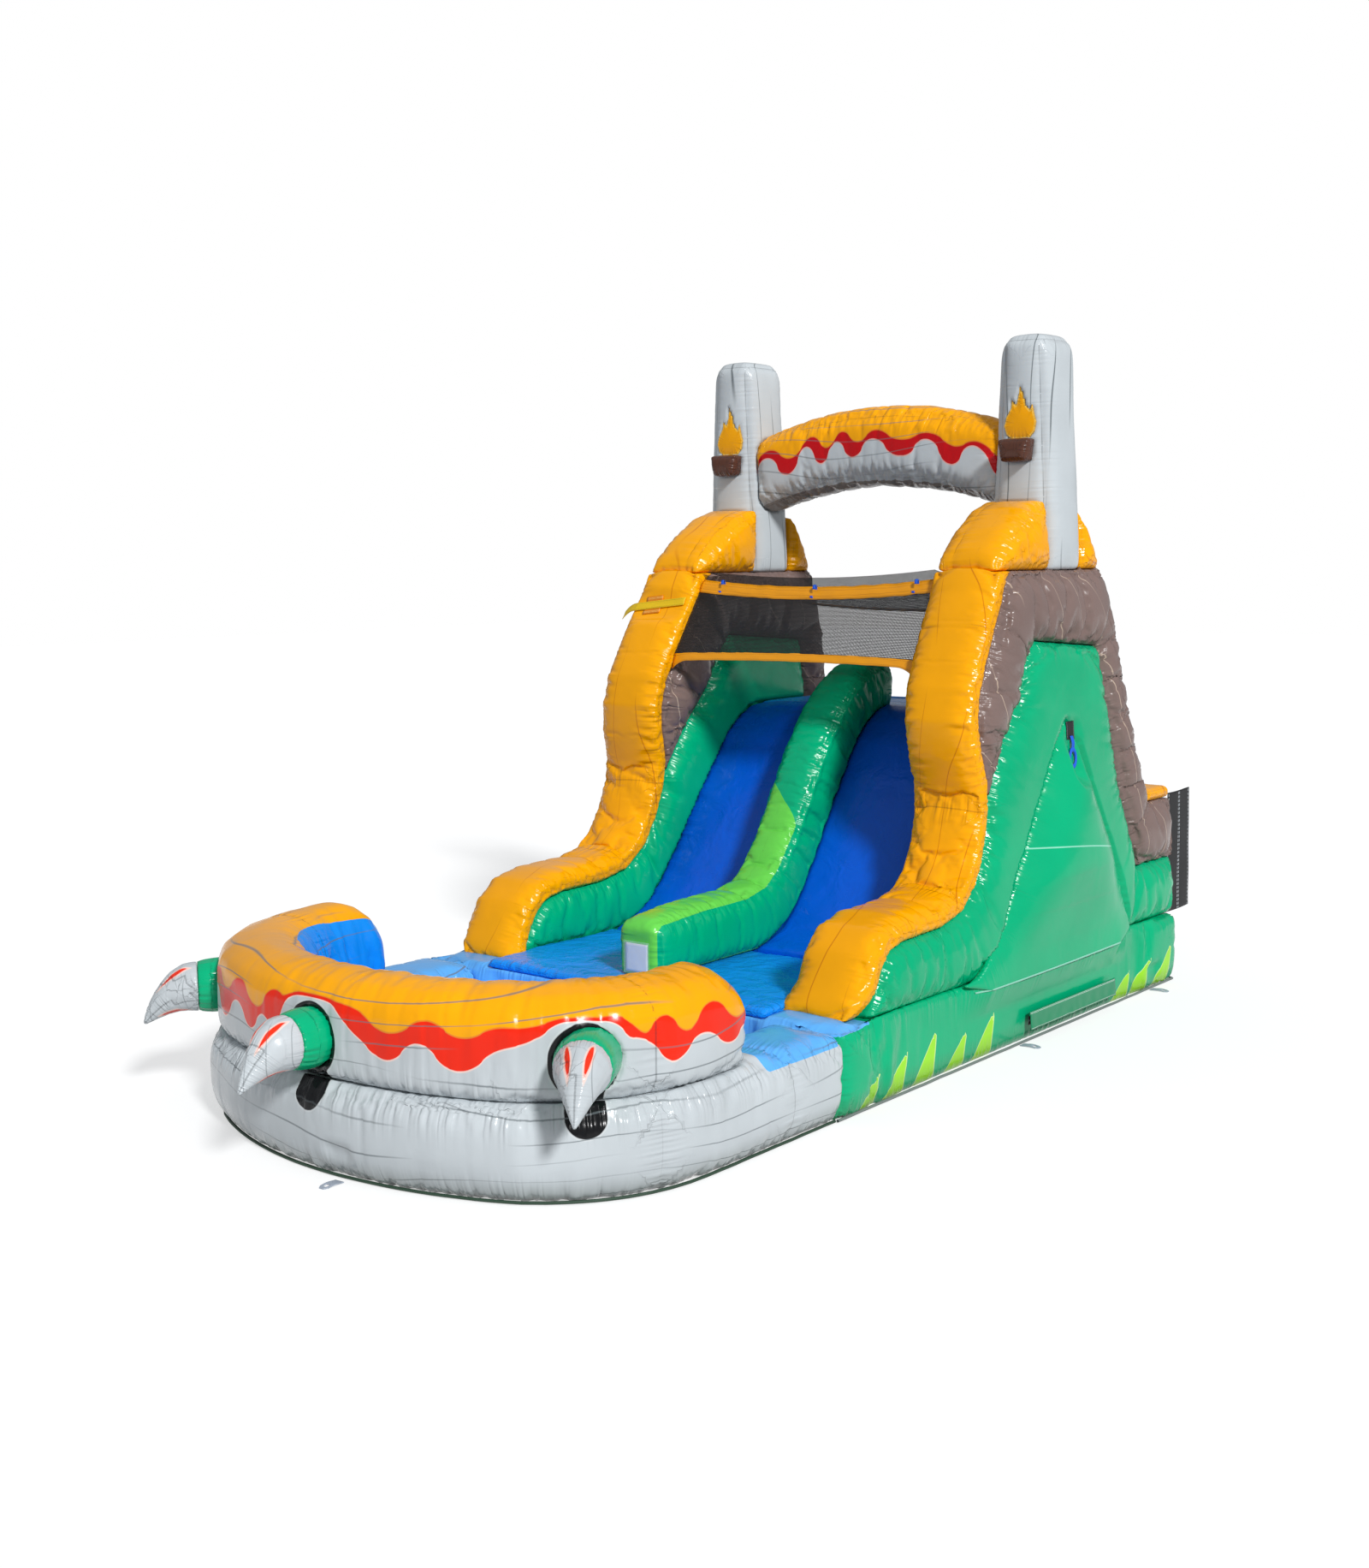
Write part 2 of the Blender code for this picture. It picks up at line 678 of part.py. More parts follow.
def make_pool():
    """The pool's wall, floor and bumper."""
    end_y = base_front_y - seam_gap
    shoulder = base_height - pool_wall_rounding
    section = [
        (0, 0), (0, shoulder), (pool_wall_rounding, base_height),
        (pool_wall_thickness - pool_wall_rounding, base_height),
        (pool_wall_thickness, shoulder), (pool_wall_thickness, 0),
    ]
    add_piece("pool_wall", u_solid(section, end_y), grey)

    curve = pool_line(pool_wall_thickness + seam_gap)
    outline = [Vector((curve[0].x, end_y))] + curve + [Vector((curve[-1].x, end_y))]
    work = bmesh.new()
    face = work.faces.new([work.verts.new((point.x, point.y, 0)) for point in outline])
    grown = bmesh.ops.extrude_face_region(work, geom=[face])
    moved = [item for item in grown["geom"] if isinstance(item, bmesh.types.BMVert)]
    bmesh.ops.translate(work, vec=(0, 0, pool_floor_thickness), verts=moved)
    rim = [e for e in work.edges if min(v.co.z for v in e.verts) > pool_floor_thickness / 2]
    round_edges(work, rim, pool_floor_rounding)
    add_piece("pool_floor", work, pool_blue)

    add_piece("pool_bumper", u_solid(bumper_section(), bumper_end_y, bumper_return_shares), grey)


def make_claws():
    """Green sockets on the bumper, each with a grey tip that curves down to a point."""
    work = u_solid(bumper_section(seam_gap), bumper_end_y, bumper_return_shares)
    cutter = add_piece("claw_seat_cutter", work, grey)
    for word, angle_deg, rise in claw_places:
        angle = math.radians(angle_deg)
        out = Vector((math.sin(angle), -math.cos(angle), 0))
        across = Vector((math.cos(angle), math.sin(angle), 0))
        up = Vector((0, 0, 1))
        root = Vector((0, pool_arc_y, base_height + rise))
        root += out * (pool_reach(angle, bumper_inset) - claw_root_depth)
        length = claw_root_depth + claw_socket_length
        rings = []
        for radius, distance in ((claw_radius, 0), (claw_neck_radius, length)):
            rings.append([
                root + out * distance + (across * math.cos(turn) + up * math.sin(turn)) * radius
                for turn in (2 * math.pi * k / claw_sides for k in range(claw_sides))
            ])
        socket = add_piece(word + "_claw_socket", loft(rings), green)
        cut(socket, cutter)

        rings = []
        start = root + out * (length + seam_gap)
        for i in range(claw_stations):
            share = i / (claw_stations - 1)
            middle = start + out * claw_tip_length * share - up * claw_drop * share**2
            slope = math.atan2(2 * claw_drop * share, claw_tip_length)
            lean_up = up * math.cos(slope) + out * math.sin(slope)
            radius = claw_tip_radius + (claw_neck_radius - claw_tip_radius) * (1 - share**1.5)
            rings.append([
                middle + (across * math.cos(turn) + lean_up * math.sin(turn)) * radius
                for turn in (2 * math.pi * k / claw_sides for k in range(claw_sides))
            ])
        add_piece(word + "_claw_tip", loft(rings), grey)


def sheet_between_walls(low, high, thickness, columns=1, rows=1, strand=0.0):
    """A flat sheet or mesh from wall to wall, between two (y, z) lines."""
    work = bmesh.new()
    grid = []
    for j in range(rows + 1):
        y = low[0] + (high[0] - low[0]) * j / rows
        z = low[1] + (high[1] - low[1]) * j / rows
        half = wall_inner_x(z) - seam_gap
        grid.append([work.verts.new((half * (2 * i / columns - 1), y, z)) for i in range(columns + 1)])
    cells = [
        work.faces.new((grid[j][i], grid[j][i + 1], grid[j + 1][i + 1], grid[j + 1][i]))
        for j in range(rows)
        for i in range(columns)
    ]
    if strand:
        work.normal_update()
        bmesh.ops.inset_individual(work, faces=cells, thickness=strand / 2, depth=0.0, use_even_offset=True)
        bmesh.ops.delete(work, geom=cells, context="FACES")
    slope = Vector((0, high[0] - low[0], high[1] - low[1])).normalized()
    away = Vector((0, slope.z, -slope.y)) * thickness
    grown = bmesh.ops.extrude_face_region(work, geom=list(work.faces))
    moved = [item for item in grown["geom"] if isinstance(item, bmesh.types.BMVert)]
    bmesh.ops.translate(work, vec=away, verts=moved)
    return work


def make_nets():
    """The front net over the lanes and the roof net behind it, with their hems."""
    foot_z = base_height + net_foot_share * wall_rise
    foot = Vector((y_at(front_edge, foot_z) + net_setback, foot_z))
    run = Vector((net_slope_y, math.sqrt(net_height**2 - net_slope_y**2))).normalized()
    gap = run * seam_gap
    marks = [foot, foot + run * bottom_hem_width]
    marks.append(marks[-1] + run * net_height)
    marks.append(marks[-1] + run * top_hem_width)
    low_hem = sheet_between_walls(marks[0], marks[1] - gap, hem_thickness)
    add_piece("front_net_low_hem", low_hem, orange)
    mesh = sheet_between_walls(marks[1], marks[2] - gap, net_thickness, net_columns, net_rows, net_strand)
    add_piece("front_net", mesh, net_black)
    top_hem = sheet_between_walls(marks[2], marks[3], hem_thickness)
    add_piece("front_net_top_hem", top_hem, orange)

    start = marks[3] - run * top_hem_width / 2 + Vector(((hem_thickness + seam_gap) / run.y, 0))
    end = Vector((wall_foot_y + roof_rear_share * wall_reach, start.y - roof_drop))
    along = (end - start).normalized()
    stop = end - along * rear_hem_width
    end_of_net = stop - along * seam_gap
    mesh = sheet_between_walls(start, end_of_net, net_thickness, net_columns, roof_rows, net_strand)
    add_piece("roof_net", mesh, net_black)
    add_piece("rear_net_hem", sheet_between_walls(stop, end, hem_thickness), orange)


def make_net_strap():
    """The webbing that pulls the top hem round the left arm, flat on one facet of it."""
    low, high = [Vector(point) for point in front_edge[strap_edge_index - 1:strap_edge_index + 1]]
    run = (high - low).normalized()
    out = Vector((-run.y, run.x))
    middle = (low + high) / 2 + out * seam_gap * 2
    centre_x = -wall_middle_x(middle.y)
    half = min(strap_length, wall_thickness - 2 * wall_rounding) / 2
    corners = [middle - run * strap_width / 2, middle + run * strap_width / 2]
    corners += [corners[1] + out * webbing_thickness, corners[0] + out * webbing_thickness]
    rings = [[(centre_x + x, point.x, point.y) for point in corners] for x in (-half, half)]
    add_piece("net_strap", loft(rings), yellow_webbing)


def webbing_loop(name, pivot, across, down, out, sizes, material):
    """A stitched webbing tab with a slot in its free end, held at the edge on its pivot."""
    width, length, hole_width, hole_length, border = sizes
    work = bmesh.new()
    outer = [(-width / 2, 0), (width / 2, 0), (width / 2, length - border), (width / 4, length),
             (-width / 4, length), (-width / 2, length - border)]
    low = length - border
    top = low - hole_length
    inner = [(-hole_width / 2, top), (hole_width / 2, top), (hole_width / 2, low - hole_width / 4),
             (hole_width / 4, low), (-hole_width / 4, low), (-hole_width / 2, low - hole_width / 4)]
    start = Vector(pivot) + (out + down) * seam_gap
    rings = [
        [work.verts.new(start + across * a + down * b) for a, b in outline] for outline in (outer, inner)
    ]
    count = len(outer)
    for i in range(count):
        j = (i + 1) % count
        work.faces.new((rings[0][i], rings[0][j], rings[1][j], rings[1][i]))
    grown = bmesh.ops.extrude_face_region(work, geom=list(work.faces))
    moved = [item for item in grown["geom"] if isinstance(item, bmesh.types.BMVert)]
    bmesh.ops.translate(work, vec=out * webbing_thickness, verts=moved)
    add_piece(name, work, material, pivot)


def make_loops():
    """Tie loops that hang high on the side walls and anchor loops that lie on the ground."""
    anchor_z = webbing_thickness + 2 * seam_gap
    groundwards = Vector((0, 0, -1))
    tie = (loop_width, loop_length, loop_hole_width, loop_hole_length, loop_border)
    anchor = (anchor_width, anchor_length, loop_hole_width, loop_hole_width, loop_border)
    for side, word in ((-1, "left"), (1, "right")):
        out = Vector((side, 0, wall_lean_share)).normalized()
        down = Vector((side * wall_lean_share, 0, -1)).normalized()
        face_x = wall_outer_x(loop_z) + panel_thickness
        across = Vector((0, 1, 0))
        pivot = (side * face_x, loop_y, loop_z)
        webbing_loop(word + "_tie_loop", pivot, across, down, out, tie, blue_webbing)
        for place_word, y in (("side", anchor_side_y), ("rear", anchor_rear_y)):
            pivot = (side * (base_half_width + seam_gap), y, anchor_z)
            outwards = Vector((side, 0, 0))
            name = f"{word}_{place_word}_anchor"
            webbing_loop(name, pivot, across, outwards, groundwards, anchor, pale_webbing)

    angle = 2 * pool_arc(0)[2] / pool_arc_stations
    out = Vector((math.sin(angle), -math.cos(angle), 0))
    across = Vector((math.cos(angle), math.sin(angle), 0))
    pivot = Vector((0, pool_arc_y, anchor_z)) + out * (pool_front_radius + seam_gap)
    webbing_loop("front_anchor", pivot, across, out, groundwards, anchor, pale_webbing)


def make_rear_flaps():
    """Black flaps at the rear corners, each on a strip stitched to the wall."""
    for side, word in ((-1, "left"), (1, "right")):
        x = side * flap_x
        wall_rear_y = rear_edge[-1][0]
        top_z = flap_foot_z + flap_height
        low = (x - sheet_thickness / 2, wall_rear_y + seam_gap, flap_foot_z + flap_inset)
        high = (x + sheet_thickness / 2, wall_rear_y + flap_strip_width, top_z - flap_inset)
        add_piece(word + "_flap_strip", box(low, high), pale_webbing)
        start_y = high[1] + sheet_thickness / 2 + 2 * seam_gap
        low = (low[0], start_y, flap_foot_z)
        high = (high[0], start_y + flap_width, top_z)
        pivot = (x, start_y - seam_gap, flap_foot_z)
        add_piece(word + "_rear_flap", box(low, high), black_cloth, pivot)


def make_zip():
    """The deflation zip on the right side, its slider, and the flap that hangs over it."""
    face_x = base_half_width + seam_gap
    end_y = zip_front_y + zip_length
    tape_top = zip_top_z - zip_tape_height / 2
    tape_low = tape_top - zip_tape_height
    tape_out = face_x + sheet_thickness
    work = box((face_x, zip_front_y, tape_low), (tape_out, end_y, tape_top))
    add_piece("zip_tape", work, black_cloth)

    slider_low = (tape_low + tape_top - zip_slider_height) / 2
    slider_in = tape_out + seam_gap
    slider_out = slider_in + zip_slider_depth
    start_y = zip_front_y + (zip_length - zip_travel - zip_slider_length) / 2
    work = box(
        (slider_in, start_y, slider_low),
        (slider_out, start_y + zip_slider_length, slider_low + zip_slider_height),
    )
    add_piece("zip_slider", work, pale_webbing, (slider_in, start_y, slider_low))

    header = box((face_x, zip_front_y, tape_top + seam_gap), (slider_out, end_y, zip_top_z))
    add_piece("zip_header", header, green)
    flap_in = slider_out + seam_gap
    low_z = zip_top_z - zip_flap_height
    flap = box((flap_in, zip_front_y, low_z), (flap_in + sheet_thickness, end_y, zip_top_z))
    add_piece("zip_flap", flap, green, (flap_in, zip_front_y, zip_top_z))


def tube(radius, wall, centre, start_y, length):
    """A short open tube along Y."""
    work = bmesh.new()
    rings = []
    for r, y in ((radius, 0), (radius, length), (radius - wall, length), (radius - wall, 0)):
        rings.append([
            work.verts.new((
                centre[0] + r * math.cos(2 * math.pi * k / inlet_facets),
                start_y + y,
                centre[1] + r * math.sin(2 * math.pi * k / inlet_facets),
            ))
            for k in range(inlet_facets)
        ])
    for first, second in zip(rings, rings[1:] + rings[:1]):
        for i in range(inlet_facets):
            j = (i + 1) % inlet_facets
            work.faces.new((first[i], first[j], second[j], second[i]))
    return work


def make_inlet():
    """The blower sleeve at the rear and the strap that ties it shut round the nozzle."""
    centre = (inlet_x, inlet_z)
    start_y = base_rear_y + seam_gap
    add_piece("inlet_sleeve", tube(inlet_radius, inlet_wall, centre, start_y, inlet_length), green)
    strap_radius = inlet_radius + seam_gap + webbing_thickness
    strap_y = start_y + inlet_length - inlet_strap_offset
    work = tube(strap_radius, webbing_thickness, centre, strap_y, inlet_strap_width)
    add_piece("inlet_strap", work, black_cloth)


for item in list(bpy.data.objects):
    bpy.data.objects.remove(item, do_unlink=True)

make_base()
make_pool()
make_claws()
make_lanes()
make_climbing_wall()
for side_sign, side_word in ((-1, "left"), (1, "right")):
    make_walls(side_sign, side_word)
    make_hoops(side_sign, side_word)
    make_pillar(side_sign, side_word)
    make_torch(side_sign, side_word)
make_beam()
make_nets()
make_net_strap()
make_loops()
make_rear_flaps()
make_zip()
make_inlet()
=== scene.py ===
# Looks for the inflatable water slide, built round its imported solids. Metres throughout.
from math import atan2, ceil, cos, pi, radians, sin, sqrt

import bmesh
import bpy
import numpy as np
from mathutils import Matrix, Vector, kdtree, noise
from mathutils.bvhtree import BVHTree


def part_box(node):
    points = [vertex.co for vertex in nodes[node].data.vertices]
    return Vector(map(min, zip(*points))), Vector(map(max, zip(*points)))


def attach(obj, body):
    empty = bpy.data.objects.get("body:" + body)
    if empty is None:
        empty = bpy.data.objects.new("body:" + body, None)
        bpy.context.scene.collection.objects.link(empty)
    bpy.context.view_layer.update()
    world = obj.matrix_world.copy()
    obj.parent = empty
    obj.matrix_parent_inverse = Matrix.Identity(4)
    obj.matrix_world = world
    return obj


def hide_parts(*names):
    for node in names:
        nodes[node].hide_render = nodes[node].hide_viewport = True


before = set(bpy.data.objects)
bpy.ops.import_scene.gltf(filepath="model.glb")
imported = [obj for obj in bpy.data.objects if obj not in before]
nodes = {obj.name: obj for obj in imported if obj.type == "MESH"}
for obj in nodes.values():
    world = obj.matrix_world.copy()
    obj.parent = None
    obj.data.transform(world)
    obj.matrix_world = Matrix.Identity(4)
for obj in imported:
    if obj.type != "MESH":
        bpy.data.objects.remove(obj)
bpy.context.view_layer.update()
shell = "inflated_body"
sides = (("left", -1), ("right", 1))
weldDistance = 1e-5
print("solids loaded:", len(nodes))

# Camera, at the photograph's place and angle
view = dict(turn=39.562, tilt=7.019, roll=-0.684, place=(7.263, -9.237, 3.12), lens=41.61)


def makeCamera():
    turn, tilt, roll = (radians(view[k]) for k in ("turn", "tilt", "roll"))
    ahead = Vector((-sin(turn) * cos(tilt), cos(turn) * cos(tilt), -sin(tilt)))
    right = Vector((cos(turn), sin(turn), 0))
    up = right.cross(ahead)
    right, up = right * cos(roll) + up * sin(roll), up * cos(roll) - right * sin(roll)
    data = bpy.data.cameras.new("camera")
    data.sensor_fit, data.sensor_height, data.lens, data.clip_end = "VERTICAL", 36, view["lens"], 100
    camera = bpy.data.objects.new("camera", data)
    camera.matrix_world = Matrix((right, up, -ahead)).transposed().to_4x4()
    camera.location = view["place"]
    bpy.context.scene.collection.objects.link(camera)
    bpy.context.scene.camera = camera


makeCamera()


# Node and colour helpers


def linear(colour):
    parts = [int(colour[i:i + 2], 16) / 255 for i in (1, 3, 5)]
    return [c / 12.92 if c <= 0.04045 else ((c + 0.055) / 1.055) ** 2.4 for c in parts] + [1.0]


def addNode(tree, kind, inputs=None, **settings):
    # adds one node, sets it, and links or sets each input
    node = tree.nodes.new("ShaderNode" + kind)
    for key, value in settings.items():
        setattr(node, key, value)
    for key, value in (inputs or {}).items():
        if isinstance(value, bpy.types.NodeSocket):
            tree.links.new(value, node.inputs[key])
        else:
            node.inputs[key].default_value = value
    return node


def newMaterial(name):
    material = bpy.data.materials.new(name)
    material.use_nodes = True
    tree = material.node_tree
    tree.nodes.clear()
    shader = addNode(tree, "BsdfPrincipled")
    addNode(tree, "OutputMaterial", {"Surface": shader.outputs[0]})
    return material, tree, shader


def coloured(tree, base, zones, sharp=0.0008, lineFrom=0.003, lineTo=0.006, lineShare=0.85):
    # printed or sewn colours, and painted shade: where an attribute is above zero its colour shows, with a
    # thin line round it
    for zone in zones:
        edge = addNode(tree, "Attribute", attribute_name=zone["mask"]).outputs["Fac"]
        mask = addNode(tree, "MapRange", {0: edge, 1: -sharp, 2: sharp}).outputs[0]
        colour = linear(zone["colour"])
        base = addNode(tree, "Mix", {0: mask, 6: base, 7: colour}, data_type="RGBA").outputs[2]
        if "line" in zone:
            near = addNode(tree, "Math", {0: edge}, operation="ABSOLUTE").outputs[0]
            fade = {0: near, 1: lineFrom, 2: lineTo, 3: lineShare, 4: 0.0}
            line = addNode(tree, "MapRange", fade).outputs[0]
            colour = linear(zone["line"])
            base = addNode(tree, "Mix", {0: line, 6: base, 7: colour}, data_type="RGBA").outputs[2]
    return base


def grained(tree, base, place, grain, solid=0.001):
    # printed grain: long thin lines, bent by a slow noise and broken off by another
    axis = [c / grain["spacing"] for c in grain["axis"]]
    across = addNode(tree, "VectorMath", {0: place, 1: axis}, operation="DOT_PRODUCT").outputs["Value"]
    drift = addNode(tree, "Mapping", {"Vector": place, "Scale": grain["flow"]}).outputs[0]
    bend = addNode(tree, "TexNoise", {"Vector": drift, "Scale": 1.0, "Detail": 1.0}).outputs["Fac"]
    bent = addNode(tree, "Math", {0: bend, 1: grain["bend"], 2: across}, operation="MULTIPLY_ADD").outputs[0]
    part = addNode(tree, "Math", {0: bent}, operation="FRACT").outputs[0]
    off = addNode(tree, "Math", {0: part, 1: 0.5}, operation="SUBTRACT").outputs[0]
    off = addNode(tree, "Math", {0: off}, operation="ABSOLUTE").outputs[0]
    near = addNode(tree, "Math", {0: off, 1: grain["spacing"]}, operation="MULTIPLY").outputs[0]
    thin = addNode(tree, "MapRange", {0: near, 1: solid, 2: grain["width"], 3: 1.0, 4: 0.0}).outputs[0]
    some = addNode(tree, "TexNoise", {"Vector": drift, "Scale": 2.3, "Detail": 0.0}).outputs["Fac"]
    some = addNode(tree, "MapRange", {0: some, 1: 0.38, 2: 0.56, 3: 0.0, 4: grain["strength"]}).outputs[0]
    mark = addNode(tree, "Math", {0: thin, 1: some}, operation="MULTIPLY").outputs[0]
    return addNode(tree, "Mix", {0: mark, 6: base, 7: linear(grain["colour"])}, data_type="RGBA").outputs[2]


vinyl = dict(
    ior=1.42, specular=0.30, roughness=0.18, smoother=0.05, rougher=0.08, mottle=0.05, wrinkle=0.005,
    wrinkleSize=0.30, scrimScale=260.0, scrim=0.00010, fold=0.005, foldPitch=0.045, foldReach=0.10,
    # the dark seam colour is painted shade in the crease along each seam
    foldWidth=0.22, foldFrom=0.05, foldEnd=0.22, seamWidth=0.0035, stitch="#20242A", stitchShare=0.4,
    # the low green colour is a painted reflection of a lawn, strongest at the ground
    lawnReflectionHeight=0.15, lawnReflectionShare=0.8, lawnReflection="#4C5B3C",
)


def seamFolds(tree, look, away):
    # short folds that run away from the nearest seam
    foot = addNode(tree, "Attribute", attribute_name="seamPoint").outputs["Vector"]
    pleat = addNode(tree, "TexNoise", {"Vector": foot, "Scale": 1 / look["foldPitch"],
                                       "Detail": 1.0}).outputs["Fac"]
    ridge = addNode(tree, "Math", {0: pleat, 1: 0.5}, operation="SUBTRACT").outputs[0]
    ridge = addNode(tree, "Math", {0: ridge}, operation="ABSOLUTE").outputs[0]
    ridge = addNode(tree, "MapRange", {0: ridge, 1: 0.0, 2: look["foldWidth"]},
                    interpolation_type="SMOOTHSTEP").outputs[0]
    reach = addNode(tree, "TexNoise", {"Vector": foot, "Scale": 9.0, "Detail": 0.0}).outputs["Fac"]
    reach = addNode(tree, "MapRange", {0: reach, 1: 0.3, 2: 0.7, 3: 0.25 * look["foldReach"],
                                       4: 1.5 * look["foldReach"]}).outputs[0]
    fade = addNode(tree, "Math", {0: away, 1: reach}, operation="DIVIDE").outputs[0]
    fade = addNode(tree, "Math", {0: 2.718, 1: fade}, operation="POWER").outputs[0]
    fold = addNode(tree, "Math", {0: ridge, 1: fade}, operation="DIVIDE").outputs[0]
    ends = addNode(tree, "MapRange", {0: away, 1: look["foldFrom"], 2: look["foldEnd"], 3: 1.0, 4: 0.0},
                   interpolation_type="SMOOTHSTEP").outputs[0]
    return addNode(tree, "Math", {0: fold, 1: ends}, operation="MULTIPLY").outputs[0]


def vinylCloth(name, colour, zones=(), grain=None, **changes):
    # PVC-coated polyester, welded and stitched: a glossy skin over a fine scrim, puckered along its seams
    look = {**vinyl, **changes}
    material, tree, shader = newMaterial(name)
    place = addNode(tree, "TexCoord").outputs["Object"]
    base = coloured(tree, linear(colour), zones)
    if grain:
        base = grained(tree, base, place, grain)
    cloud = addNode(tree, "TexNoise", {"Vector": place, "Scale": 1.7, "Detail": 4.0}).outputs["Fac"]
    shade = addNode(tree, "MapRange", {0: cloud, 1: 0.3, 2: 0.7, 3: 1 - 2 * look["mottle"],
                                       4: 1 + look["mottle"]}).outputs[0]
    base = addNode(tree, "Mix", {0: 1.0, 6: base, 7: shade}, data_type="RGBA",
                   blend_type="MULTIPLY").outputs[2]
    height = addNode(tree, "SeparateXYZ", {0: place}).outputs["Z"]  # painted reflection of a lawn, greener near the ground
    low = addNode(tree, "MapRange", {0: height, 1: 0.0, 2: look["lawnReflectionHeight"], 3: look["lawnReflectionShare"],
                                     4: 0.0}).outputs[0]
    low = addNode(tree, "Math", {0: low, 1: cloud}, operation="MULTIPLY").outputs[0]
    base = addNode(tree, "Mix", {0: low, 6: base, 7: linear(look["lawnReflection"])}, data_type="RGBA").outputs[2]
    wide = addNode(tree, "TexNoise", {"Vector": place, "Scale": 1 / look["wrinkleSize"], "Detail": 3.0,
                                      "Distortion": 0.6}).outputs["Fac"]
    relief = addNode(tree, "Math", {0: wide, 1: look["wrinkle"]}, operation="MULTIPLY").outputs[0]
    # the scrim's 1 mm threads, drawn at about 4 mm so that they show
    scrim = addNode(tree, "TexNoise", {"Vector": place, "Scale": look["scrimScale"],
                                       "Detail": 1.0}).outputs["Fac"]
    relief = addNode(tree, "Math", {0: scrim, 1: look["scrim"], 2: relief},
                     operation="MULTIPLY_ADD").outputs[0]
    away = addNode(tree, "Attribute", attribute_name="seamDistance").outputs["Fac"]
    folds = seamFolds(tree, look, away)
    relief = addNode(tree, "Math", {0: folds, 1: look["fold"], 2: relief},
                     operation="MULTIPLY_ADD").outputs[0]
    # a thin line along each seam: painted crease shade in the dark seam colours, pale stitching on the side
    # panels
    stitchAndShadeLine = addNode(tree, "MapRange", {0: away, 1: look["seamWidth"], 2: 2 * look["seamWidth"],
                                      3: look["stitchShare"], 4: 0.0}).outputs[0]
    base = addNode(tree, "Mix", {0: stitchAndShadeLine, 6: base, 7: linear(look["stitch"])}, data_type="RGBA").outputs[2]
    tree.links.new(base, shader.inputs["Base Color"])
    rough = addNode(tree, "TexNoise", {"Vector": place, "Scale": 7.0, "Detail": 3.0}).outputs["Fac"]
    rough = addNode(tree, "MapRange", {0: rough, 1: 0.3, 2: 0.7, 3: look["roughness"] - look["smoother"],
                                       4: look["roughness"] + look["rougher"]}).outputs[0]
    tree.links.new(rough, shader.inputs["Roughness"])
    shader.inputs["IOR"].default_value = look["ior"]
    shader.inputs["Specular IOR Level"].default_value = look["specular"]
    bump = addNode(tree, "Bump", {"Strength": 1.0, "Distance": 1.0, "Height": relief})
    tree.links.new(bump.outputs[0], shader.inputs["Normal"])
    return material


def wovenCloth(name, colour, thread=0.004, height=0.0006, roughness=0.75, stitches=None):
    # woven nylon or polyester: matt threads over and under, with a painted highlight where they stand up and
    # painted shade between them
    material, tree, shader = newMaterial(name)
    lie = addNode(tree, "Attribute", attribute_name="clothPlace").outputs["Vector"]
    weave = {"Vector": lie, "Scale": 0.314 / thread, "Distortion": 0.4}
    warp = addNode(tree, "TexWave", weave, bands_direction="X").outputs["Fac"]
    weft = addNode(tree, "TexWave", weave, bands_direction="Y").outputs["Fac"]
    raised = addNode(tree, "Math", {0: warp, 1: weft}, operation="MULTIPLY").outputs[0]
    shade = addNode(tree, "MapRange", {0: raised, 3: 0.72, 4: 1.12}).outputs[0]
    base = addNode(tree, "Mix", {0: 1.0, 6: linear(colour), 7: shade}, data_type="RGBA",
                   blend_type="MULTIPLY").outputs[2]
    if stitches:  # a row of thread dashes at each listed place across the cloth
        flat = addNode(tree, "SeparateXYZ", {0: lie}).outputs
        dash = addNode(tree, "Math", {0: flat["Y"], 1: 1 / stitches["pitch"]},
                       operation="MULTIPLY").outputs[0]
        dash = addNode(tree, "Math", {0: dash}, operation="FRACT").outputs[0]
        dash = addNode(tree, "Math", {0: dash, 1: 0.62}, operation="LESS_THAN").outputs[0]
        thick, colour = stitches["width"], linear(stitches["colour"])
        for row in stitches["rows"]:
            off = addNode(tree, "Math", {0: flat["X"], 1: row}, operation="SUBTRACT").outputs[0]
            off = addNode(tree, "Math", {0: off}, operation="ABSOLUTE").outputs[0]
            line = addNode(tree, "Math", {0: off, 1: thick / 2}, operation="LESS_THAN").outputs[0]
            both = addNode(tree, "Math", {0: line, 1: dash}, operation="MULTIPLY").outputs[0]
            base = addNode(tree, "Mix", {0: both, 6: base, 7: colour}, data_type="RGBA").outputs[2]
    tree.links.new(base, shader.inputs["Base Color"])
    shader.inputs["Roughness"].default_value = roughness
    relief = addNode(tree, "Math", {0: raised, 1: height}, operation="MULTIPLY").outputs[0]
    bump = addNode(tree, "Bump", {"Strength": 1.0, "Distance": 1.0, "Height": relief})
    tree.links.new(bump.outputs[0], shader.inputs["Normal"])
    return material


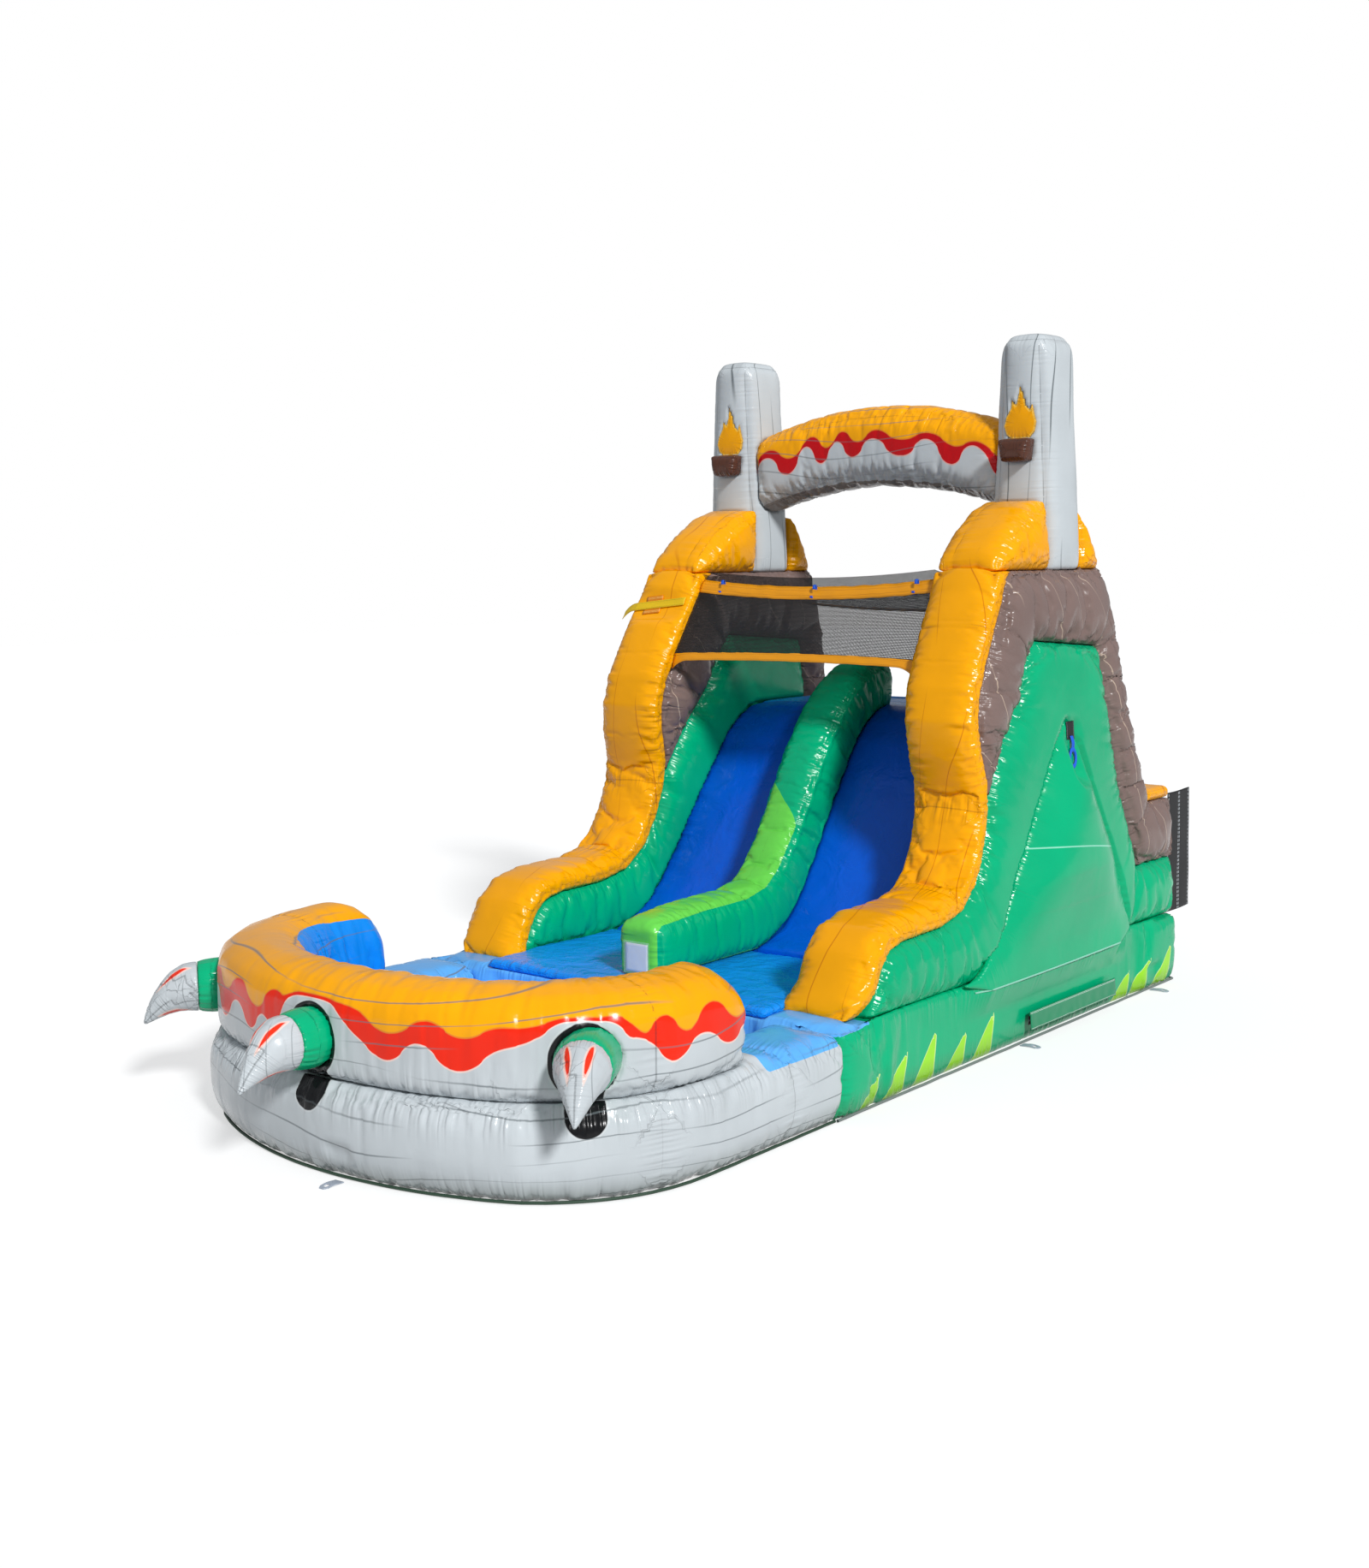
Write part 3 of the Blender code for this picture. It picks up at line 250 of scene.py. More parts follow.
def netCloth(name, colour, pitch, thread):
    # knitted polyester mesh: black threads round small holes that the background shows through
    material, tree, shader = newMaterial(name)
    lie = addNode(tree, "Attribute", attribute_name="clothPlace").outputs["Vector"]
    flat = addNode(tree, "SeparateXYZ", {0: lie}).outputs
    hole = None
    for axis in "XY":
        cell = addNode(tree, "Math", {0: flat[axis], 1: 1 / pitch}, operation="MULTIPLY").outputs[0]
        cell = addNode(tree, "Math", {0: cell}, operation="FRACT").outputs[0]
        gap = addNode(tree, "Math", {0: cell, 1: thread / pitch}, operation="GREATER_THAN").outputs[0]
        hole = addNode(tree, "Math", {0: hole, 1: gap}, operation="MULTIPLY").outputs[0] if hole else gap
    solid = addNode(tree, "Math", {0: 1.0, 1: hole}, operation="SUBTRACT").outputs[0]
    shade = addNode(tree, "TexNoise", {"Vector": lie, "Scale": 3.0, "Detail": 2.0}).outputs["Fac"]
    tint = addNode(tree, "MapRange", {0: shade, 3: 0.7, 4: 1.3}).outputs[0]
    base = addNode(tree, "Mix", {0: 1.0, 6: linear(colour), 7: tint}, data_type="RGBA", blend_type="MULTIPLY")
    tree.links.new(base.outputs[2], shader.inputs["Base Color"])
    tree.links.new(solid, shader.inputs["Alpha"])
    shader.inputs["Roughness"].default_value = 0.8
    return material


# Mesh helpers


def merged(name):
    work = bmesh.new()
    work.from_mesh(nodes[name].data)
    bmesh.ops.remove_doubles(work, verts=work.verts, dist=weldDistance)
    work.normal_update()
    return work


def objectFrom(name, work):
    mesh = bpy.data.meshes.new(name)
    work.to_mesh(mesh)
    work.free()
    piece = bpy.data.objects.new(name, mesh)
    bpy.context.scene.collection.objects.link(piece)
    return piece


def evaluated(piece):
    # the piece with its modifiers made real
    graph = bpy.context.evaluated_depsgraph_get()
    mesh = bpy.data.meshes.new_from_object(piece.evaluated_get(graph))
    old = piece.data
    piece.modifiers.clear()
    piece.data = mesh
    bpy.data.meshes.remove(old)
    return piece


def pointsOf(piece):
    points = np.empty(len(piece.data.vertices) * 3, np.float32)
    piece.data.vertices.foreach_get("co", points)
    return points.reshape(-1, 3).astype(float)


def movePoints(piece, points):
    piece.data.vertices.foreach_set("co", np.asarray(points, np.float32).ravel())
    piece.data.update()


def paint(piece, name, values):
    kind = "FLOAT" if np.ndim(values) == 1 else "FLOAT_VECTOR"
    layer = piece.data.attributes.new(name, kind, "POINT")
    layer.data.foreach_set("value" if kind == "FLOAT" else "vector", np.asarray(values, np.float32).ravel())


def skinOf(name):
    # a visible piece as a tree that rays can be cast at
    return BVHTree.FromObject(bpy.data.objects[name], bpy.context.evaluated_depsgraph_get())


def settle(piece, material, body=shell, stands=()):
    piece.data.materials.clear()
    piece.data.materials.append(material)
    piece.data.shade_smooth()
    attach(piece, body)
    if stands:
        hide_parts(*stands)
    return piece


def clothPiece(name, flat, cells, lay, thickness, material, stands=(), body=shell, joined=False,
               turned=False):
    # a cloth of so many cells; lay(u, v) gives where each point goes, with u and v from -1 to 1
    work = bmesh.new()
    bmesh.ops.create_grid(work, x_segments=cells[0], y_segments=cells[1], size=1)
    piece = objectFrom(name, work)
    grid = pointsOf(piece)
    movePoints(piece, [tuple(lay(u, v)) for u, v in grid[:, :2]])
    flatPlace = grid * (flat[0] / 2, flat[1] / 2, 0)
    paint(piece, "clothPlace", flatPlace[:, [1, 0, 2]] if turned else flatPlace)
    if joined:  # the first and last columns meet
        work = bmesh.new()
        work.from_mesh(piece.data)
        bmesh.ops.remove_doubles(work, verts=work.verts, dist=weldDistance)
        bmesh.ops.recalc_face_normals(work, faces=work.faces)
        work.to_mesh(piece.data)
        work.free()
    if thickness:
        thick = piece.modifiers.new("thickness", "SOLIDIFY")
        thick.thickness, thick.offset = thickness, 0
        evaluated(piece)
    return settle(piece, material, body, stands)


def grainy(points, size, seed=0.0):
    # smooth noise at each point, about -0.6 to 0.6
    shift = Vector((seed, seed, seed))
    return np.array([noise.noise(Vector(point) / size + shift) for point in points])


def cutEdges(name, cuts):
    # where planes through a solid meet its skin
    found = []
    for place, facing in cuts:
        work = merged(name)
        everything = work.verts[:] + work.edges[:] + work.faces[:]
        sliced = bmesh.ops.bisect_plane(work, geom=everything, dist=weldDistance, plane_co=place,
                                        plane_no=facing)
        lines = [part for part in sliced["geom_cut"] if isinstance(part, bmesh.types.BMEdge)]
        found += [[vert.co[:] for vert in line.verts] for line in lines]
        work.free()
    return found


def seamsOf(name, axes, keep=None):
    # the edges where faces turn past 45 degrees from an axis: the middle of a rounded edge
    work, found, turned = merged(name), [], 0.7
    for edge in work.edges:
        if len(edge.link_faces) == 2 and (keep is None or keep((edge.verts[0].co + edge.verts[1].co) / 2)):
            one, two = (face.normal for face in edge.link_faces)
            if any((abs(one[a]) - turned) * (abs(two[a]) - turned) < 0 for a in axes):
                found.append([edge.verts[0].co[:], edge.verts[1].co[:]])
    work.free()
    return found


def nearestSeam(points, seams, spacing=0.012):
    # the nearest place on a seam and how far it is, found by marks along each seam
    seams = np.array(seams, float)
    marks, owners = [], []
    for i, (start, end) in enumerate(seams):
        count = max(1, ceil(np.linalg.norm(end - start) / spacing))
        for k in range(count + 1):
            marks.append(start + (end - start) * k / count)
            owners.append(i)
    tree = kdtree.KDTree(len(marks))
    for i, mark in enumerate(marks):
        tree.insert(mark, i)
    tree.balance()
    owners = np.array(owners)[[tree.find(point)[1] for point in points]]
    start, run = seams[owners, 0], seams[owners, 1] - seams[owners, 0]
    share = np.clip(((points - start) * run).sum(1) / np.maximum((run ** 2).sum(1), 1e-12), 0, 1)
    foot = start + run * share[:, None]
    return foot, np.linalg.norm(points - foot, axis=1)


def faceNormals(name, points):
    # the solid's own face direction nearest each point
    work = merged(name)
    tree = BVHTree.FromBMesh(work)
    found = np.array([tree.find_nearest(Vector(point))[1][:] for point in points])
    work.free()
    return found


def towards(name, points, away, axis, signed=False):
    # distance to the seam, above zero where the solid's own face looks along the axis
    facing = faceNormals(name, points)[:, axis]
    return away * np.where((facing if signed else np.abs(facing)) > 0.7, 1.0, -1.0)


thinNodes = [name for name in nodes if any(word in name for word in (
    "card", "anchor", "loop", "flap", "zip", "strap", "net", "inlet"))]


def roomAround(name, points, normals, most):
    # how far each point may move out before it meets another air chamber
    corners, faces = [], []
    for other, solid in nodes.items():
        if other == name or other in thinNodes:
            continue
        shift = len(corners)
        corners.extend(vert.co for vert in solid.data.vertices)
        faces.extend([shift + i for i in face.vertices] for face in solid.data.polygons)
    tree = BVHTree.FromPolygons(corners, faces)
    room = np.full(len(points), most)
    back, gap = 0.004, 0.005
    for i, (point, normal) in enumerate(zip(points, normals)):
        hit = tree.ray_cast(Vector(point) - Vector(normal) * back, normal, most)[3]
        if hit is not None:
            room[i] = max(0.0, hit - gap)
    return room


def calmNear(points, still=0.01, reach=0.12):
    # 0 where something thin is sewn to the skin, and 1 away from it
    calm = np.ones(len(points))
    for name in thinNodes:
        if "net" in name and "strap" not in name:
            continue
        low, high = (np.array(corner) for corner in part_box(name))
        gap = np.linalg.norm(np.maximum(np.maximum(low - points, points - high), 0), axis=1)
        share = np.clip((gap - still) / reach, 0, 1)
        calm = np.minimum(calm, share * share * (3 - 2 * share))
    return calm


# Air chambers: each solid's own form, blown up between its seams and puckered along them.
# The cloth of a large one is cut a little large, its seams are held, and air pressure fills it.
# The others are puffed out along their normals.

swell = dict(cell=0.020, soften=6, puff=0.020, round=0.10, crease=0.005, pleat=0.008, pitch=0.085,
             reach=0.10, wander=0.006, air=False, growth=0.08, cap=0.045, hold=0.02, even=0, cutHold=0.10)
air = dict(frames=20, pressure=4.0, mass=0.3, damping=2.0, stretch=25, shear=10, bend=0.2, quality=4)
pucker = dict(room=0.09, near=0.05, stitchAndShadeLine=0.012, wanderSize=0.45, crest=0.30, strengthSize=0.5,
              lengthSize=0.21, end=0.16, creaseReach=0.018, floor=0.001)
chambers = []


def inflate(name, axes, material, slot, cuts=(), keep=None, shape=None, share=None, folds=None, **changes):
    size = {**swell, **changes}
    piece = objectFrom(name + "_cloth", merged(name))
    grid = piece.modifiers.new("cells", "REMESH")
    grid.mode, grid.voxel_size = "VOXEL", size["cell"]
    calm = piece.modifiers.new("soften", "SMOOTH")
    calm.factor, calm.iterations = 0.5, size["soften"]
    evaluated(piece)
    points = pointsOf(piece)
    normals = np.array([vert.normal[:] for vert in piece.data.vertices])
    seams = seamsOf(name, axes, keep)
    foot, away = nearestSeam(points, seams + cutEdges(name, cuts))
    grip = np.exp(-(away / size["hold"]) ** 2)
    if cuts:  # a seam across a chamber holds less than one along its edge
        alone = nearestSeam(points, seams)[1]
        grip = np.maximum(np.exp(-(alone / size["hold"]) ** 2), size["cutHold"] * grip)
    paint(piece, "seamPoint", foot)
    paint(piece, "seamDistance", away)
    settle(piece, material, shell, (name,))
    chambers.append(dict(name=name, piece=piece, points=points, normals=normals, foot=foot, away=away,
                         size=size, grip=grip, shape=shape, share=share, folds=folds))
    return piece, points, away


def blowCloth(full):
    # all large chambers are blown up together, frame by frame
    for chamber in full:
        piece, growth = chamber["piece"], chamber["size"]["growth"]
        held = piece.vertex_groups.new(name="held")
        for i, share in enumerate(chamber["grip"]):
            if share > 0.02:
                held.add([i], float(share), "REPLACE")
        cloth = piece.modifiers.new("air", "CLOTH")
        cloth.point_cache.frame_start, cloth.point_cache.frame_end = 1, air["frames"]
        cloth.collision_settings.use_collision = False
        fabric = cloth.settings
        fabric.quality, fabric.mass, fabric.air_damping = air["quality"], air["mass"], air["damping"]
        fabric.tension_stiffness = fabric.compression_stiffness = air["stretch"]
        fabric.shear_stiffness, fabric.bending_stiffness = air["shear"], air["bend"]
        fabric.use_pressure, fabric.uniform_pressure_force = True, air["pressure"]
        fabric.effector_weights.gravity = 0
        fabric.vertex_group_mass, fabric.pin_stiffness = "held", 1.0
        fabric.vertex_group_shrink, fabric.shrink_min, fabric.shrink_max = "held", -growth, 0.0
    for k in range(1, air["frames"] + 1):
        bpy.context.scene.frame_set(k)
    graph = bpy.context.evaluated_depsgraph_get()
    for chamber in full:
        mesh = chamber["piece"].evaluated_get(graph).to_mesh()
        now = np.empty(len(mesh.vertices) * 3, np.float32)
        mesh.vertices.foreach_get("co", now)
        move = now.reshape(-1, 3) - chamber["points"]
        far = np.linalg.norm(move, axis=1)
        cap = chamber["size"]["cap"]
        chamber["move"] = move * (cap * np.tanh(far / cap) / np.maximum(far, 1e-9))[:, None]
    for chamber in full:
        chamber["piece"].modifiers.clear()
        chamber["piece"].vertex_groups.clear()
    bpy.context.scene.frame_set(1)


def evened(piece, values, held, rounds):
    # each value becomes its neighbours' mean, again and again, with the held ones at zero
    ends = np.empty(len(piece.data.edges) * 2, int)
    piece.data.edges.foreach_get("vertices", ends)
    one, two = ends[0::2], ends[1::2]
    count = np.bincount(ends, minlength=len(values))
    for k in range(rounds):
        total = np.bincount(one, values[two], len(values)) + np.bincount(two, values[one], len(values))
        values = np.where(held, 0, total / np.maximum(count, 1))
    return values


def puffed(chamber):
    # the way out for a chamber that isn't simulated: most in the middle and none at the seams
    away, size = chamber["away"], chamber["size"]
    height = size["puff"] * (1 - np.exp(-(away / size["round"]) ** 1.5))
    if chamber["share"]:
        height = height * chamber["share"](chamber["points"])
    if size["even"]:
        height = evened(chamber["piece"], height, away < pucker["stitchAndShadeLine"], size["even"])
    return chamber["normals"] * height[:, None]


def sunkIn(chamber):
    # how deep the pleats and the crease along each seam lie
    foot, away, size = chamber["foot"], chamber["away"], chamber["size"]
    crest = np.clip(1 - np.abs(grainy(foot, size["pitch"])) / pucker["crest"], 0, 1)
    strength = np.clip(0.55 + 1.1 * grainy(foot, pucker["strengthSize"], 7.0), 0.1, 1.4)
    length = size["reach"] * (0.7 + 0.6 * np.clip(grainy(foot, pucker["lengthSize"], 3.0) + 0.5, 0, 1))
    ends = np.clip(1.6 - away / pucker["end"], 0, 1)
    sunk = size["pleat"] * strength * crest * np.exp(-away / length) * ends
    sunk = sunk + size["crease"] * np.exp(-away / pucker["creaseReach"])
    return sunk + chamber["folds"](chamber["points"]) if chamber["folds"] else sunk


def blowUp():
    full = [chamber for chamber in chambers if chamber["size"]["air"]]
    if full:
        blowCloth(full)
    for chamber in chambers:
        points, normals, size = (chamber[k] for k in ("points", "normals", "size"))
        room = roomAround(chamber["name"], points, normals, max(pucker["room"], size["puff"]))
        free = np.clip(room / pucker["near"], 0, 1)
        move = chamber["move"] if "move" in chamber else puffed(chamber)
        move = move + normals * (size["wander"] * grainy(points, pucker["wanderSize"]))[:, None]
        outward = (move * normals).sum(1)
        kept = np.minimum(outward * free, room) * calmNear(points)
        kept = np.where(outward > 0, kept, outward * (0.25 + 0.75 * free))
        move = move + normals * (kept - outward)[:, None]
        moved = points + move - normals * (sunkIn(chamber) * (0.3 + 0.7 * free))[:, None]
        if chamber["shape"]:
            moved = chamber["shape"](moved)
        moved[:, 2] = np.maximum(moved[:, 2], pucker["floor"])
        movePoints(chamber["piece"], moved)


# The pool's U, seen from above: along it, and in from its outer face

pool = dict(halfWidth=1.70, radius=2.64, arcY=-0.861, cornerReach=0.60, arcSteps=20, bendSteps=8,
            bumperEnd=-1.93, seams=(1.98, -1.98))


def poolLine():
    corner = Vector((pool["halfWidth"], pool["arcY"] - sqrt(pool["radius"] ** 2 - pool["halfWidth"] ** 2)))
    last = atan2(corner.x, pool["arcY"] - corner.y) - pool["cornerReach"] / pool["radius"]
    turns = [last * k / pool["arcSteps"] for k in range(pool["arcSteps"] + 1)]
    arc = [Vector((pool["radius"] * sin(turn), pool["arcY"] - pool["radius"] * cos(turn))) for turn in turns]
    side = corner + Vector((0, pool["cornerReach"]))
    shares = [k / pool["bendSteps"] for k in range(1, pool["bendSteps"] + 1)]
    bend = [arc[-1] * (1 - s) ** 2 + corner * 2 * s * (1 - s) + side * s ** 2 for s in shares]
    half = arc + bend + [Vector((pool["halfWidth"], 0))]
    return np.array([(-p.x, p.y) for p in reversed(half[1:])] + [p[:] for p in half])


def poolPlace(points):
    # distance along the U from its middle, distance in from its outer face, and the way out
    line = poolLine()
    start, run = line[:-1], line[1:] - line[:-1]
    span = np.hypot(run[:, 0], run[:, 1])
    along = np.concatenate([[0], np.cumsum(span)])
    along -= along[-1] / 2
    flat = points[:, None, :2] - start[None]
    share = np.clip((flat * run).sum(2) / span ** 2, 0, 1)
    gap = np.linalg.norm(flat - run * share[..., None], axis=2)
    best = gap.argmin(1)
    rows = np.arange(len(points))
    side = flat[rows, best, 0] * -run[best, 1] + flat[rows, best, 1] * run[best, 0]
    out = np.stack([run[best, 1], -run[best, 0]], 1) / span[best, None]
    return along[best] + share[rows, best] * span[best], gap[rows, best] * np.sign(side), out


def acrossPool(along):
    # a plane across the U at a distance along it
    line = poolLine()
    span = np.concatenate([[0], np.cumsum(np.hypot(*(line[1:] - line[:-1]).T))])
    span -= span[-1] / 2
    place = [np.interp(along, span, line[:, k]) for k in (0, 1)]
    after = [np.interp(along + 0.01, span, line[:, k]) for k in (0, 1)]
    facing = Vector((after[0] - place[0], after[1] - place[1], 0)).normalized()
    return (place[0], place[1], 0.4), facing


# Each claw's turn round the pool in degrees, and its height
clawPlaces = dict(left=(-34.5, 0.695), middle=(0.0, 0.725), right=(34.5, 0.725))
clawAlong = {word: pool["radius"] * radians(turn) for word, (turn, z) in clawPlaces.items()}
drips = dict(orangeZ=0.865, orangeWave=0.060, orangeTop=0.965, redZ=0.725, redWave=0.072, redTop=0.935,
             redGap=0.012, step=0.40, clawReach=0.27, ringRadius=0.192, slotHalf=0.112, slotDrop=0.275,
             seamBelow=0.56, topInset=0.06, blueInset=0.47, blueZ=0.90, slotInset=0.25)


def wave(along, step, shift):
    # a line of uneven rounded lobes, about -1 to 1
    bent = along / step + 0.22 * np.sin(along * 2.6 + shift) + 0.10 * np.sin(along * 6.1 + 2 * shift)
    lobe = np.cos(2 * pi * bent)
    return np.sign(lobe) * np.abs(lobe) ** 0.75 * (0.76 + 0.24 * np.sin(along * 2.3 + 5 * shift))


def keyhole(along, z):
    # above zero inside the dark panel behind a claw: a disc with a slot below it
    best = np.full(len(along), -1.0)
    for word, (turn, centreZ) in clawPlaces.items():
        across = along - clawAlong[word]
        disc = drips["ringRadius"] - np.hypot(across, z - centreZ)
        slotEnd = centreZ - drips["slotDrop"]
        slot = drips["slotHalf"] - np.hypot(across, np.minimum(z - slotEnd, 0) + np.maximum(z - centreZ, 0))
        best = np.maximum(best, np.maximum(disc, slot))
    return best


# Cloths. The colours are those of sunlit vinyl. The wood grain is printed darker, and paler on the brown. The
# dark seam colours are painted shade in the creases along the seams
colours = dict(
    orange="#FFAD00", red="#F4280A", darkRed="#CB0814", grey="#C6CDD1", green="#00B07A", leaf="#6CD852",
    brown="#806C67", laneBlue="#005CDA", poolBlue="#1292F4", black="#141517", grass="#A0E628", box="#5A382C",
    deck="#62B4FA", orangeSeamShade="#8A4A00", greenSeamShade="#015A3E", dripLine="#E88A2A", slotLine="#D5DADC",
)
orangeGrain = dict(axis=(1, 0.15, 0), spacing=0.26, flow=(1.5, 0.6, 0.7), bend=3.4, colour="#C96A00",
                   strength=0.75, width=0.005)
greyGrain = dict(axis=(0, 0, 1), spacing=0.13, flow=(0.6, 0.6, 1.6), bend=3.2, colour="#6C7478", strength=0.8,
                 width=0.006)
postGrain = dict(axis=(0.8, 0.6, 0), spacing=0.15, flow=(2.2, 2.2, 0.5), bend=2.2, colour="#5B6367",
                 strength=0.9, width=0.006)
brownGrain = dict(axis=(0, 0.9, 0.3), spacing=0.34, flow=(0.9, 0.9, 0.8), bend=3.4, colour="#CDB7A4",
                  strength=0.8, width=0.005)
blackSlot = dict(mask="slotPart", colour=colours["black"], line=colours["slotLine"])

orangeCloth = vinylCloth("orange coated cloth", colours["orange"], grain=orangeGrain,
                         stitch=colours["orangeSeamShade"])
flameCloth = vinylCloth(
    "flame cut-out cloth", colours["orange"], zones=[dict(mask="edgePart", colour="#FFC64A")],
    stitch=colours["orangeSeamShade"], foldPitch=0.02, foldReach=0.03, fold=0.003)
brownCloth = vinylCloth("brown coated cloth", colours["brown"], grain=brownGrain, roughness=0.22,
                        stitch="#2A1F1B", fold=0.007, foldReach=0.13)
boxCloth = vinylCloth("torch box cloth", colours["box"], foldPitch=0.02, foldReach=0.05, fold=0.005)
greenCloth = vinylCloth("green coated cloth", colours["green"], roughness=0.19, stitch=colours["greenSeamShade"])
panelCloth = vinylCloth(
    "green panel cloth", colours["green"], roughness=0.19, stitch="#8FE0C4", stitchShare=0.7, fold=0.004,
    zones=[dict(mask="seamPart", colour=colours["green"], line="#9BE3CB")])
postCloth = vinylCloth("grey post cloth", colours["grey"], grain=postGrain, fold=0.0022, wrinkle=0.004)
laneCloth = vinylCloth("lane cloth", colours["laneBlue"], roughness=0.30, wrinkle=0.016, wrinkleSize=0.17)
poolCloth = vinylCloth("pool floor cloth", colours["poolBlue"], roughness=0.28, wrinkle=0.024,
                       wrinkleSize=0.13)
bumperCloth = vinylCloth(
    "printed rim cloth", colours["grey"], grain=greyGrain, foldReach=0.12,
    zones=[dict(mask="redPart", colour=colours["red"], line="#F7DDD2"),
           dict(mask="orangePart", colour=colours["orange"], line=colours["dripLine"]),
           dict(mask="bluePart", colour=colours["poolBlue"]), blackSlot])
poolWallCloth = vinylCloth(
    "printed pool wall cloth", colours["grey"], grain=greyGrain, foldReach=0.12, fold=0.006,
    zones=[dict(mask="bluePart", colour=colours["deck"]), blackSlot])
baseCloth = vinylCloth(
    "base cloth", colours["green"], roughness=0.19,
    zones=[dict(mask="bluePart", colour=colours["deck"]),
           dict(mask="grassPart", colour=colours["grass"], line="#D8F29A")])
dividerCloth = vinylCloth("divider cloth", colours["green"], stitch=colours["greenSeamShade"], foldReach=0.09,
                          zones=[dict(mask="leafPart", colour=colours["leaf"])])
beamCloth = vinylCloth(
    "printed beam cloth", colours["grey"], grain=dict(greyGrain, spacing=0.11, strength=0.6), foldReach=0.09,
    zones=[dict(mask="redPart", colour=colours["darkRed"], line="#EFB6AC"),
           dict(mask="orangePart", colour=colours["orange"], line=colours["dripLine"]),
           # the darker underside colour is painted shade under the beam
           dict(mask="underShadePart", colour="#97918D")])
clawCloth = vinylCloth(
    "claw tip cloth", colours["grey"], zones=[dict(mask="redPart", colour="#F2361A", line="#F6DAD0")],
    grain=dict(postGrain, spacing=0.12, strength=0.5, width=0.004), foldPitch=0.02, foldReach=0.05,
    fold=0.004)

# Base and pool
baseLook = dict(
    tuck=0.02, poolTuck=0.07, tuckHeight=0.24, sideX=1.58, joinX=1.716, lip=0.008, joinFrom=0.15, joinTo=2.45,
    joinLow=0.28, panelX=1.655, panelHigh=0.68, panelDrop=0.07, deckFrom=-0.80, deckHalf=1.3, frontFrom=-1.08,
    frontHalf=1.62)
grassLook = dict(places=(-0.86, -0.55, -0.22, 0.14, 0.47, 2.36, 2.62, 2.93), height=0.25, width=0.23,
                 lean=0.12)
anchorLook = dict(side=1.6803, places=(0.9, 2.8), front=(0.2076, -3.4931), facing=(0.078646, -0.996903),
                  clear=0.007, half=0.06, fade=0.05, height=0.17, most=0.06)


def tuckedIn(points, out, tuck):
    # the skin curls in under its own weight near the ground
    share = np.clip(1 - points[:, 2] / baseLook["tuckHeight"], 0, 1) ** 2
    moved = points.copy()
    moved[:, :2] -= out * (tuck * share)[:, None]
    return moved


def joinShare(points):
    # where the base and a side panel run into each other, along the side
    y = points[:, 1]
    return np.clip((y - baseLook["joinFrom"]) / 0.3, 0, 1) * np.clip((baseLook["joinTo"] - y) / 0.25, 0, 1)


def dented(moved, beyond, across):
    # how far in the skin is drawn where an anchor loop is sewn on
    fade = anchorLook["fade"]
    near = np.clip((anchorLook["half"] + fade - np.abs(across)) / fade, 0, 1)
    low = np.clip((anchorLook["height"] + fade - moved[:, 2]) / fade, 0, 1)
    return np.clip(beyond + anchorLook["clear"], 0, anchorLook["most"]) * near * low


def poolShape(moved):
    inset, out = poolPlace(moved)[1:]
    moved = tuckedIn(moved, out * (inset < 0.2)[:, None], baseLook["poolTuck"])
    facing = np.array(anchorLook["facing"])
    across = np.array((facing[1], -facing[0]))
    offset = moved[:, :2] - anchorLook["front"]
    moved[:, :2] -= facing * dented(moved, offset @ facing, offset @ across)[:, None]
    return moved


def baseShape(moved):
    side = np.sign(moved[:, 0]) * (np.abs(moved[:, 0]) > baseLook["sideX"])
    moved = tuckedIn(moved, np.stack([side, 0 * side], 1), baseLook["tuck"])
    share = joinShare(moved) * np.clip((moved[:, 2] - baseLook["joinLow"]) / 0.16, 0, 1) * np.abs(side)
    moved[:, 0] += side * np.maximum(baseLook["joinX"] - np.abs(moved[:, 0]), 0) * share
    for place in anchorLook["places"]:
        beyond = np.where(side != 0, np.abs(moved[:, 0]) - anchorLook["side"], -1)
        moved[:, 0] -= side * dented(moved, beyond, moved[:, 1] - place)
    return moved


def panelShape(moved):
    side = np.sign(moved[:, 0]) * np.clip((np.abs(moved[:, 0]) - baseLook["panelX"]) / 0.015, 0, 1)
    share = joinShare(moved) * np.clip((baseLook["panelHigh"] - moved[:, 2]) / 0.13, 0, 1)
    moved = moved.copy()
    moved[:, 2] -= baseLook["panelDrop"] * share
    moved[:, 0] += side * np.maximum(baseLook["joinX"] + baseLook["lip"] - np.abs(moved[:, 0]), 0) * share
    return moved


def blades(points):
    # tapered grass blades that stand on the ground line of a side wall
    best = np.full(len(points), -1.0)
    for i, y in enumerate(grassLook["places"]):
        tall = grassLook["height"] * (0.8 + 0.4 * ((i * 7) % 5) / 4)
        share = np.clip(points[:, 2] / tall, 0, 1)
        middle = y + grassLook["lean"] * share ** 1.6
        half = grassLook["width"] / 2 * (1 - share) ** 0.8
        best = np.maximum(best, np.where(points[:, 2] < tall, half - np.abs(points[:, 1] - middle), -0.05))
    return best


base, points, away = inflate(
    "slide_base", (2, 0), baseCloth, "green_vinyl", cell=0.026, puff=0.022, reach=0.08, air=True, cap=0.03,
    shape=baseShape)
top = towards("slide_base", points, away, 2, signed=True)
deck = np.maximum(baseLook["deckFrom"] - points[:, 1], baseLook["deckHalf"] - np.abs(points[:, 0]))
front = np.minimum(baseLook["frontFrom"] - points[:, 1], baseLook["frontHalf"] - np.abs(points[:, 0]))
paint(base, "bluePart", np.maximum(np.minimum(top, deck), front))
paint(base, "grassPart", blades(points))

